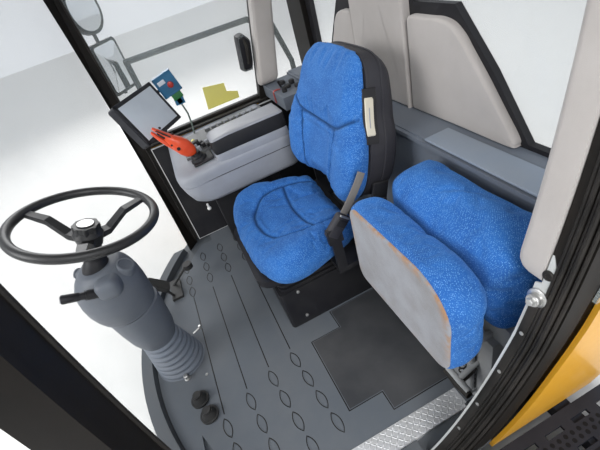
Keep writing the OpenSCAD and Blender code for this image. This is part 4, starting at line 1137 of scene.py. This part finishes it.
def make_joystick():
    """Joystick: a flat ribbed blade that rises forward from a thicker palm with a black collar."""
    boot = turned([(0.036, 0.0), (0.034, 0.008), (0.027, 0.014), (0.028, 0.018), (0.022, 0.024),
                   (0.021, 0.034)], 32, (0.094, -0.430, 0.7055), (0.18, 0, 0.98))
    piece("joystick_boot", *boot, "cab", "black")
    palm = blade([(0.104, 0.736, 0), (0.112, 0.752, 0), (0.128, 0.778, 0), (0.144, 0.802, 0),
                  (0.162, 0.826, 0), (0.178, 0.844, 0)],
                 [0.011, 0.020, 0.027, 0.0275, 0.022, 0.013],
                 [0.014, 0.028, 0.034, 0.031, 0.022, 0.012], -0.430)
    upper = blade([(0.142, 0.822, 0), (0.160, 0.842, 0), (0.182, 0.866, -0.003),
                   (0.200, 0.886, -0.006), (0.207, 0.894, -0.008)],
                  [0.016, 0.017, 0.015, 0.012, 0.007], [0.011, 0.0095, 0.0075, 0.006, 0.004],
                  -0.428)
    lower = blade([(0.160, 0.790, 0), (0.180, 0.818, 0), (0.199, 0.846, -0.003),
                   (0.212, 0.870, -0.006), (0.217, 0.880, -0.008)],
                  [0.017, 0.018, 0.016, 0.012, 0.007], [0.012, 0.0105, 0.0085, 0.0065, 0.004],
                  -0.432)
    web = blade([(0.155, 0.812, 0), (0.172, 0.832, 0), (0.190, 0.858, -0.003)],
                [0.012, 0.013, 0.010], [0.016, 0.014, 0.009], -0.436)
    grip = piece("joystick_grip", *gather([palm, upper, lower, web]), "cab", "joystick")
    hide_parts("joystick")
    marks = [blade([(0.158, 0.842, 0), (0.180, 0.866, -0.003), (0.197, 0.885, -0.005)],
                   [0.0018, 0.0022, 0.0016], [0.0032, 0.0036, 0.0026], -0.4125),
             blade([(0.166, 0.826, 0), (0.184, 0.848, -0.003), (0.198, 0.868, -0.005)],
                   [0.0022, 0.0026, 0.0018], [0.0030, 0.0034, 0.0026], -0.4210),
             turned([(0.003, 0), (0.0075, 0), (0.0070, 0.0018), (0.003, 0.002)], 24,
                    (0.150, -0.4035, 0.790), (0.1, 1, 0.1)),
             turned([(0.002, 0), (0.0042, 0), (0.0040, 0.0018), (0.002, 0.002)], 20,
                    (0.168, -0.4085, 0.812), (0.1, 1, 0.1))]
    marks += [turned([(0.002, -0.004), (0.0050, -0.004), (0.0050, 0.0018), (0.003, 0.003)], 16,
                     (x - 0.004, -0.434, z + 0.006), (-0.72, 0, 0.69))
              for x, z in ((0.150, 0.840), (0.166, 0.860), (0.183, 0.879))]
    piece("joystick_marks", *gather(marks), "cab", "black")


def four_bars(outer, inner, y0, y1, r):
    """Four bars round an oblong opening: outer and inner half sizes, and the depth."""
    (w, h), (a, b) = outer, inner
    return [block((u0, y0, v0), (u1, y1, v1), r)
            for u0, u1, v0, v1 in ((-w, w, -h, -b), (-w, w, b, h), (-w, -a, -h, h), (a, w, -h, h))]


def make_terminal():
    """Screen in a black bezel, turned 49 degrees and leaned 24, with its pale glass set in."""
    pose = turn_matrix((0, 0, 1), 49) @ turn_matrix((1, 0, 0), 24), (0.197, -0.574, 0.914)
    bezel = four_bars((0.124, 0.094), (0.106, 0.078), 0.001, 0.0045, 0.0015)
    piece("screen_bezel", *gather([placed(b, *pose) for b in bezel]), "cab", "terminal")
    glass = block((-0.1085, 0.0022, -0.0785), (0.1085, 0.0054, 0.0785), 0.001)
    piece("screen_glass", *placed(glass, *pose), "cab", "screen")


def make_controller():
    """Control box: a raised rim, a small pale window, a red push button and a green plug below."""
    turn = turn_matrix((0, 1, 0), 12.7)
    pose = turn, (0.078, -0.758, 0.953)
    rim = four_bars((0.046, 0.048), (0.040, 0.041), 0.0165, 0.0195, 0.001)
    piece("box_rim", *gather([placed(b, *pose) for b in rim]), "cab", "controller_box")
    window = block((0.000, 0.0170, 0.010), (0.034, 0.0205, 0.028), 0.001)
    piece("box_window", *placed(window, *pose), "cab", "screen")
    dial = turned([(0.003, 0.012), (0.0136, 0.012), (0.0136, 0.0245), (0.0125, 0.0285),
                   (0.009, 0.0300), (0.004, 0.0303)], 32, (-0.012, 0, -0.006), (0, 1, 0))
    piece("box_button", *placed(dial, *pose), "cab", "red")
    plug = [block((0.034, -0.771, 0.878), (0.082, -0.743, 0.912), 0.004, turn),
            block((0.042, -0.768, 0.852), (0.072, -0.746, 0.882), 0.004, turn)]
    piece("box_plug", *gather(plug), "cab", "green")


# --------------------------------------------------------------- windows, pads and posts

NOSE_C = -0.4886
WALL_X = -0.6245
# height, front edge and rear edge of the rear door post
POST = np.array([[0.130, -0.112, -0.262], [0.210, -0.150, -0.278], [0.330, -0.196, -0.306],
                 [0.500, -0.256, -0.345], [0.640, -0.303, -0.385], [0.760, -0.331, -0.414],
                 [0.940, -0.370, -0.452], [1.130, -0.410, -0.492], [1.700, -0.528, -0.598]])


def post_front(z):
    """Front edge of the rear door post at a height."""
    return np.interp(z, POST[:, 0], POST[:, 1])


def on_side(x, z, out, side=1):
    """Points at x and z that stand off the cab's inside form by `out`, positive outward."""
    x, z = np.broadcast_arrays(np.asarray(x, float), np.asarray(z, float))
    return np.column_stack([x, side * (side_y(z) + out), z])


def make_window_trim():
    """Rubber along the side windows' lower edges and the right front post, and the right
    window's black catch with its black kick panel below."""
    parts = []
    for s, x0, x1 in ((-1, 0.338, -0.640), (1, -0.432, -0.640)):
        for at, out, z, width, thick in ((0.716, 0.0425, 0.7175, 0.036, 0.014),
                                         (0.706, 0.020, 0.704, 0.060, 0.012)):
            line = on_side(np.linspace(x0, x1, 12), at, out, s)
            line[:, 2] = z
            parts.append(strip(line, (0, 0, 1), width, thick))
    parts.append(strip(on_side(0.2940, np.linspace(0.150, 0.700, 16), 0.004, -1), (0, 1, 0),
                       0.026, 0.011))
    zs = np.linspace(0.150, 1.690, 40)
    for s in (-1, 1):
        parts.append(rod(on_side(0.3035, zs, -0.010, s), 0.0042, 10))
        parts.append(rod(on_side(0.3400, zs, -0.0105, s), 0.0026, 8))
    piece("window_rubber", *gather(parts), "cab", "rubber")
    a = np.radians(np.linspace(-38, 38, 60))
    for name, r, thick, finish in (("foot_rubber", 1.108, 0.0045, "rubber"),
                                   ("foot_line", 1.130, 0.0030, "side_panels")):
        foot = np.column_stack([NOSE_C + r * np.cos(a), r * np.sin(a), np.full(60, 0.1445)])
        piece(name, *rod(foot, thick, 8), "cab", finish)
    x = np.array([-0.50, 0.281, 0.281, -0.50])
    deep = np.array([0.0094, 0.0094, 0.0116, 0.0116])
    panel = [on_side(x, z, -deep, -1) for z in np.linspace(0.146, 0.686, 14)]
    piece("kick_panel", *loft(panel), "cab", "black")
    catch = [(-0.281, 0.868), (-0.291, 0.862), (-0.327, 0.861), (-0.332, 0.872),
             (-0.342, 0.900), (-0.358, 0.985), (-0.352, 1.002), (-0.334, 1.0235),
             (-0.322, 1.024), (-0.303, 1.019), (-0.300, 1.004)]
    rings = [on_side(*scaled(catch, k).T, out, -1)
             for out, k in ((0.0462, 1.0), (0.004, 1.0), (-0.020, 0.98), (-0.0268, 0.86),
                            (-0.0274, 0.70))]
    piece("window_catch", *loft(rings), "cab", "black")
    line = on_side([-0.318, -0.324, -0.331, -0.327], 0.94, -0.029, -1)
    line[:, 2] = 0.895, 0.93, 0.975, 1.000
    piece("catch_lever", *rod(line, [0.008, 0.0095, 0.009, 0.0065], 16), "cab", "rubber")


def rounded(points, radii):
    """An outline with each corner cut by a short curve and a point at each side's middle."""
    p = np.array(points, float)
    out = []
    for a, b, c, r in zip(np.roll(p, 1, axis=0), p, np.roll(p, -1, axis=0), radii):
        u, w = (a - b) / np.linalg.norm(a - b), (c - b) / np.linalg.norm(c - b)
        out += [b + u * r, b + (u + w) * r * 0.29, b + w * r, (b + c) / 2]
    return out


def felt_pad(outline, depth, edge=0.010):
    """A pad on the rear wall: its outline, then a rounded edge, then a slightly crowned face."""
    p = smooth_line(outline, 6, closed=True)
    steps = [(0.0, 0.0)]
    steps += [(depth - edge * (1 - math.sin(t)), edge * (1 - math.cos(t)))
              for t in np.radians([0, 25, 50, 70, 90])]
    steps += [(depth + 0.0015, 0.05), (depth + 0.002, 0.12)]
    return loft([np.column_stack([np.full(len(p), WALL_X + x), drawn_in(p, inset)])
                 for x, inset in steps])


def make_pads():
    """Felt wings and pillar on the rear wall: outlines with round corners and padded edges."""
    left = [(0.088, 0.7915), (0.512, 0.7915), (0.390, 0.944), (0.278, 1.073), (0.092, 1.073)]
    right = [(-0.236, 0.7915), (-0.236, 1.066), (-0.354, 1.066), (-0.434, 0.942),
             (-0.534, 0.7915)]
    pillar = [(-0.2285, 0.7915), (0.0805, 0.7915), (0.0805, 1.640), (-0.2285, 1.640)]
    parts = [felt_pad(rounded(left, (0.02, 0.035, 0.02, 0.045, 0.02)), 0.024),
             felt_pad(rounded(right, (0.02, 0.02, 0.045, 0.02, 0.035)), 0.024),
             felt_pad(rounded(pillar, (0.02, 0.02, 0.02, 0.02)), 0.030)]
    wings = piece("wall_felt", *gather(parts), "cab", "pads")
    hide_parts("rear_pads")


def make_post_pads():
    """Felt covers inside the rear door posts: the post's width with rounded long edges and
    ends."""
    zs = np.concatenate([[0.7795, 0.7815, 0.787, 0.797, 0.812], np.linspace(0.84, 1.46, 22),
                         [1.485, 1.495, 1.499]])
    c = 0.016
    up, down = np.radians([25, 50, 75, 90]), np.radians([0, 25, 50, 75])
    parts = []
    for s in (-1, 1):
        rows = []
        for z in zs:
            front = post_front(z) + 0.006
            rear = max(np.interp(z, POST[:, 0], POST[:, 2]) - 0.012, -0.5985)
            end = min((z - 0.7785) / 0.03, (1.5 - z) / 0.03, 1.0)
            k = math.sqrt(max(0.04, 1 - (1 - end) ** 2))
            h = (front - rear) / 2 * (0.80 + 0.20 * k)
            deep = 0.057 * (0.55 + 0.45 * k)
            u = np.concatenate([[h, h], h - c + c * np.cos(up), -h + c - c * np.sin(down),
                                [-h, -h]])
            v = np.concatenate([[0, deep - c], deep - c + c * np.sin(up),
                                deep - c + c * np.cos(down), [deep - c, 0]])
            rows.append(on_side((front + rear) / 2 + u, z, -0.0015 - v, s))
        parts.append(loft(rows))
    cover = piece("post_felt", *gather(parts), "cab", "pads")
    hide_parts("post_pads")


def post_ring(z, back, shoulder, top, inner, outer):
    """Section of a strip on the rear door post's front edge: heights forward of the edge, and
    inner and outer edges off the inside form, with both front corners bevelled."""
    x, y = float(post_front(z)), float(side_y(z))
    return np.array([(x + back, y + inner, z), (x + back, y + outer, z),
                     (x + shoulder, y + outer, z), (x + top, y + outer - 0.0012, z),
                     (x + top, y + inner + 0.0008, z), (x + shoulder, y + inner, z)])


def make_post_fittings():
    """Left rear door post, on the face towards the doorway: a pale strip, a black band along it
    below the striker, the striker with its bolt, a dark screw above it, rivets, and rubber beads
    further out."""
    zs = np.concatenate([np.linspace(0.142, 0.30, 10), np.linspace(0.33, 0.772, 16), [0.778],
                         np.linspace(0.784, 0.838, 4)])
    liner = [post_ring(z, -0.001, 0.0014, 0.0022, -0.0105 if z < 0.775 else 0.0005,
                       0.0135 - 0.010 * max(0.0, (z - 0.82) / 0.018)) for z in zs]
    piece("post_liner", *loft(liner), "cab", "liner")
    band = [post_ring(z, 0.0016, 0.0028, 0.0034, -0.0045, 0.0138)
            for z in np.linspace(0.143, 0.733, 26)]
    piece("post_band", *loft(band), "cab", "rubber")
    n = (1.0, 0.10, 0.20)

    def on_strip(z, out):
        return on_side(post_front(z) + 0.0022, z, out)[0]

    at = on_strip(0.748, 0.0045)
    plate = turned([(0.004, -0.002), (0.0175, -0.002), (0.0185, 0.001), (0.0180, 0.0035),
                    (0.0165, 0.0045), (0.006, 0.0046)], 36, at, n)
    tongue = block(at + (-0.002, -0.010, -0.031), at + (0.0015, 0.010, -0.004), 0.001,
                   turn_matrix((0, 1, 0), -12))
    stud = turned([(0.0115, 0.003), (0.0125, 0.0045), (0.0125, 0.014), (0.0112, 0.0165)], 32,
                  at, n)
    bolt = turned([(0.0070, 0.014), (0.0076, 0.0155), (0.0076, 0.0225), (0.0066, 0.0245),
                   (0.003, 0.0247)], 6, at, n)
    piece("striker", *gather([plate, tongue, stud, bolt]), "cab", "steel")
    screw = turned([(0.003, -0.001), (0.0095, -0.001), (0.0100, 0.002), (0.0080, 0.004),
                    (0.0045, 0.0042), (0.0040, 0.0030), (0.002, 0.0028)], 28,
                   on_strip(0.800, 0.0070), n)
    piece("post_screw", *screw, "cab", "rubber")
    rivets = [turned([(0.003, -0.001), (0.0045, -0.001), (0.0042, 0.0024), (0.002, 0.0028)], 20,
                     on_strip(z, 0.0055), n) for z in (0.655, 0.54, 0.42, 0.31)]
    piece("post_rivets", *gather(rivets), "cab", "steel")
    zs = np.linspace(0.150, 1.690, 48)
    beads = [rod(on_side(post_front(zs) + dx, zs, out), r, 8)
             for out, dx, r in ((0.0175, 0.001, 0.0034), (0.0250, 0.002, 0.0042),
                                (0.0335, 0.001, 0.0030), (0.0405, 0.003, 0.0046),
                                (0.0495, 0.000, 0.0034))]
    piece("door_beads", *gather(beads), "cab", "rubber")


# --------------------------------------------------------------- floor and outside

MAT_TOP = 0.140


def plane_turn(degrees):
    """A turn in a plane, for rows of points."""
    c, s = math.cos(math.radians(degrees)), math.sin(math.radians(degrees))
    return np.array([[c, s], [-s, c]])


def make_chequer():
    """Bright plate by the door with rows of raised lozenges turned left and right in turn."""
    t = np.linspace(0, 2 * math.pi, 8, endpoint=False)
    lozenge = np.column_stack([0.0072 * np.cos(t), 0.0021 * np.sin(t)])
    parts = []
    for i, j in np.ndindex(46, 5):
        x, y = -0.288 + i * 0.0127, 0.6355 + j * 0.0132
        if x > 0.286 or (x < -0.105 and y > 0.690):
            continue
        turn = plane_turn(45 if (i + j) % 2 else -45)
        parts.append(loft([np.column_stack([k * lozenge @ turn + (x, y), np.full(8, z)])
                           for k, z in ((1.0, 0.1410), (0.62, 0.1419))]))
    piece("chequer", *gather(parts), "cab", "sill_plate")


def almond(length, width, n=14):
    """Outline of two equal arcs that meet in points, as on the mat."""
    r = (length ** 2 + width ** 2) / (4 * width)
    t = np.linspace(-length / 2, length / 2, n)
    arc = np.sqrt(np.maximum(r * r - t * t, 0)) - (r - width / 2)
    return np.vstack([np.column_stack([t, arc]), np.column_stack([t[::-1], -arc[::-1]])[1:-1]])


def almond_loop(middle, degrees, length, width, low, top):
    """A thin ring between an almond outline and the same drawn in, from one height to another."""
    outer = almond(length, width)
    size = np.linalg.norm(outer, axis=1)[:, None]
    inner = outer * (1 - 0.0032 / np.maximum(size, 0.006))
    n = len(outer)
    verts = [np.column_stack([q @ plane_turn(degrees) + middle, np.full(n, z)])
             for q, z in ((outer, low), (outer, top), (inner, top), (inner, low))]
    a, j = (k.ravel() for k in np.meshgrid(np.arange(4), np.arange(n), indexing="ij"))
    b, k = (a + 1) % 4, (j + 1) % n
    return np.vstack(verts), np.column_stack([a * n + j, a * n + k, b * n + k, b * n + j]).tolist()


def make_mat_lines():
    """Black strips on the floors of the mat's grooves, painted shade that makes them read as sunk,
    black joint lines round the lid, the raised rims inside its almond loops and the darker lid."""
    dark, rims = [], []
    for i, back, reach, first, start in ((0, -0.345, 0.210, -0.420, 0.262),
                                         (1, -0.335, 0.235, -0.400, 0.287),
                                         (2, -0.320, 0.272, -0.391, 0.324),
                                         (3, -0.310, 0.318, -0.350, 0.370)):
        x = 0.100 + i * 0.099
        # painted shade: a black strip on the floor of the rib's groove
        dark.append(block((x - 0.0018, back, 0.1378), (x + 0.0018, reach, 0.1391), 0.0003))
        spots = [(x - k * 0.011, start + k * 0.092, 97) for k in range(4)]
        spots += [(x, first - k * 0.092, 90) for k in range(3)]
        for cx, cy, turn in spots:
            # none at the foot switches, nor past the mat's edges
            if (cx - 0.465) ** 2 + (cy - 0.25) ** 2 < 0.004 or cy > 0.60 or cy < -0.66:
                continue
            # painted shade: a black ring on the floor of the almond's groove
            dark.append(almond_loop((cx, cy), turn, 0.078, 0.030, 0.1385, 0.1403))
            rims.append(almond_loop((cx, cy), turn, 0.066, 0.0235, 0.1396, 0.1408))
    lid = np.array([(0.017, 0.229), (0.017, 0.526), (-0.105, 0.526), (-0.105, 0.592),
                    (-0.318, 0.592), (-0.318, 0.142), (-0.105, 0.142), (-0.105, 0.229)])
    for a, b in zip(lid, np.roll(lid, -1, axis=0)):
        dark.append(block((*(np.minimum(a, b) - 0.0018), 0.1368),
                          (*(np.maximum(a, b) + 0.0018), 0.1381), 0.0003))
    piece("mat_groove_shade_and_lid_joints", *gather(dark), "cab", "rubber")
    piece("mat_rims", *gather(rims), "cab", "floor_mat")
    inset = lid - 0.004 * np.sign(lid - [-0.150, 0.367])
    inset[[2, 3, 6, 7], 0] = -0.109
    verts = np.vstack([np.column_stack([inset, np.full(8, z)]) for z in (MAT_TOP, 0.1404)])
    faces = [tuple(range(7, -1, -1)), tuple(range(8, 16))]
    faces += [(k, (k + 1) % 8, 8 + (k + 1) % 8, 8 + k) for k in range(8)]
    piece("mat_lid", verts, faces, "cab", "lid")


def make_platform_holes():
    """Perforations of the step, drawn as thin near-black discs and slots on the plate, painted
    shade
    for the dark seen through them: two rows of small holes by the cab and long slots further out."""
    parts = []
    for row, y in enumerate((0.8695, 0.8865)):
        for i in range(45):
            x = -0.676 + i * 0.0233 + row * 0.0116
            if x < 0.37:
                parts.append(turned([(0.0063, 0.0), (0.0063, 0.0004)], 10, (x, y, 0.0981)))
    for row, y in enumerate((0.928, 0.944, 0.986, 1.002, 1.044, 1.060, 1.102, 1.118, 1.160,
                             1.176, 1.218, 1.234, 1.276)):
        for i in range(10):
            x = -0.672 + i * 0.106 + (row % 2) * 0.05
            if x + 0.088 < 0.374:
                parts.append(block((x, y - 0.0032, 0.0979), (x + 0.088, y + 0.0032, 0.0985),
                                   0.0002))
    piece("platform_hole_shade", *gather(parts), "cab", "hole")


def make_floor_bits():
    """Bolt by the boot, a bare stud and the small steel pin beside the column."""
    foot = MAT_TOP + 0.0002
    bits = [turned([(0.004, 0.0), (0.012, 0.0), (0.012, 0.004), (0.009, 0.005), (0.009, 0.016),
                    (0.0095, 0.020), (0.007, 0.023), (0.003, 0.023)], 24, (0.496, 0.104, foot)),
            turned([(0.002, 0.0), (0.006, 0.0), (0.005, 0.0022), (0.002, 0.003)], 20,
                   (0.423, 0.129, foot)),
            rod([(0.430, -0.070, 0.168), (0.392, -0.084, 0.172)], 0.004, 12),
            rod([(0.396, -0.083, 0.163), (0.396, -0.083, 0.181)], 0.0055, 12)]
    piece("floor_studs", *gather(bits), "cab", "steel")


def make_window_plate():
    """Blank yellow plate on the inside of the right window, stepped like two joined labels."""
    x, z = np.array([(-0.071, 0.855), (-0.179, 0.838), (-0.177, 0.797), (-0.231, 0.777),
                     (-0.228, 0.745), (-0.056, 0.745)]).T
    piece("window_plate", *loft([on_side(x, z, out, -1) for out in (0.0440, 0.0448)]), "cab",
          "yellow")


def make_ledge_trim():
    """Side ledge on the right behind the console: sockets and knobs, a pull ribbon, and a raised
    pad on the left."""
    knobs = [turned([(r * 0.5, 0), (r, 0), (r, h * 0.7), (r * 0.85, h), (r * 0.4, h)], 28,
                    (x, y, 0.7742))
             for x, y, r, h in ((-0.42, -0.700, 0.017, 0.016), (-0.455, -0.655, 0.014, 0.020),
                                (-0.42, -0.625, 0.017, 0.014), (-0.39, -0.585, 0.012, 0.022),
                                (-0.46, -0.590, 0.016, 0.012))]
    knobs.append(rod([(-0.40, -0.66, 0.7745), (-0.392, -0.66, 0.808)], [0.004, 0.0065], 12))
    piece("ledge_knobs", *gather(knobs), "cab", "black")
    ribbon = smooth_line([(-0.385, -0.640, 0.777), (-0.362, -0.640, 0.779),
                          (-0.3505, -0.640, 0.772), (-0.3495, -0.640, 0.745),
                          (-0.3492, -0.639, 0.722)], 5)
    piece("pull_ribbon", *strip(ribbon, (1, 0, 0.3), 0.014, 0.0012), "cab", "red")
    piece("ledge_pad", *block((-0.578, 0.290, 0.7896), (-0.494, 0.690, 0.7975), 0.006), "cab",
          "ledge_pad")


def make_mirrors():
    """Mirror glasses on the heads' rear faces, set in thin rims."""
    for name, s, x in (("mirror_glass_right", -1, 0.285), ("mirror_glass_left", 1, 0.585)):
        turn = turn_matrix((0, 0, 1), s * 40)
        parts = []
        for z, w, h, r in ((1.300, 0.176, 0.186, 0.086), (1.035, 0.152, 0.220, 0.016)):
            u, v = w / 2 - r, h / 2 - r
            ring = arc_corners([(u, v, r, 0), (-u, v, r, 90), (-u, -v, r, 180), (u, -v, r, 270)],
                               10)
            rows = [np.column_stack([np.full(len(ring), d), ring * k])
                    for d, k in ((-0.0215, 1.0), (-0.0226, 0.995), (-0.0230, 0.97))]
            parts.append(placed(loft(rows), turn, (x, s * 1.15, z)))
        piece(name, *gather(parts), "cab", "mirror")


def make_lamps():
    """Lenses on the roof's work lamps: six round the front's curve and two at the rear."""
    lens = [(0.006, 0.0), (0.029, 0.0), (0.029, 0.001), (0.020, 0.0024), (0.006, 0.003)]
    parts = []
    for a in np.radians((-28, -20, -12, 12, 20, 28)):
        out = np.array([math.cos(a), math.sin(a), 0])
        parts.append(turned(lens, 32, np.array([-0.48858, 0, 1.724]) + out * 1.2088, out))
    for y in (-0.60, 0.60):
        parts.append(turned(lens, 32, (-0.6942, y, 1.724), (-1, 0, 0)))
    piece("lamp_lenses", *gather(parts), "cab", "lens")


for make in (make_cushions, make_jump_trim, make_column, make_boot, make_wheel, make_shell,
             make_belt_guide, make_belt, make_console, make_armrest, make_switches,
             make_joystick, make_terminal, make_controller, make_window_trim, make_pads,
             make_post_pads, make_post_fittings, make_chequer, make_floor_bits, make_mat_lines,
             make_platform_holes, make_jump_catch, make_window_plate, make_ledge_trim,
             make_mirrors, make_lamps):
    make()

# --------------------------------------------------------------- stage and light


def make_stage():
    """A plain pale floor under the cab and a soft studio round it."""
    mesh = bpy.data.meshes.new("floor")
    r = 14.0
    mesh.from_pydata([(-r, -r, 0), (r, -r, 0), (r, r, 0), (-r, r, 0)], [], [(0, 1, 2, 3)])
    floor = bpy.data.objects.new("floor", mesh)
    bpy.context.scene.collection.objects.link(floor)
    mat = coated("floor_pale", (0.72, 0.71, 0.69), (0.66, 0.65, 0.63), rough=(0.8, 0.9),
                 bump=0.02)
    mesh.materials.append(mat)
    world = bpy.data.worlds.new("studio")
    bpy.context.scene.world = world
    world.use_nodes = True
    Net(world.node_tree).put(world.node_tree.nodes["Background"],
                             {"Color": (0.92, 0.95, 1.0, 1), "Strength": 0.9})


def lamp(name, at, to, size, power):
    """A round soft light at a place, turned to look at another."""
    data = bpy.data.lights.new(name, "AREA")
    data.shape = "DISK"
    data.size = size
    data.energy = power
    ob = bpy.data.objects.new(name, data)
    ob.location = at
    ob.rotation_euler = (Vector(to) - Vector(at)).to_track_quat("-Z", "Y").to_euler()
    bpy.context.scene.collection.objects.link(ob)


make_stage()
lamp("door_light", (0.3, 3.4, 3.0), (-0.1, 0.0, 0.6), 2.2, 130)
lamp("front_light", (4.0, 0.5, 3.0), (0.0, 0.0, 0.7), 2.5, 175)
lamp("right_light", (0.6, -4.0, 2.8), (0.0, 0.0, 0.7), 2.5, 110)
bpy.context.scene.view_settings.view_transform = "Standard"
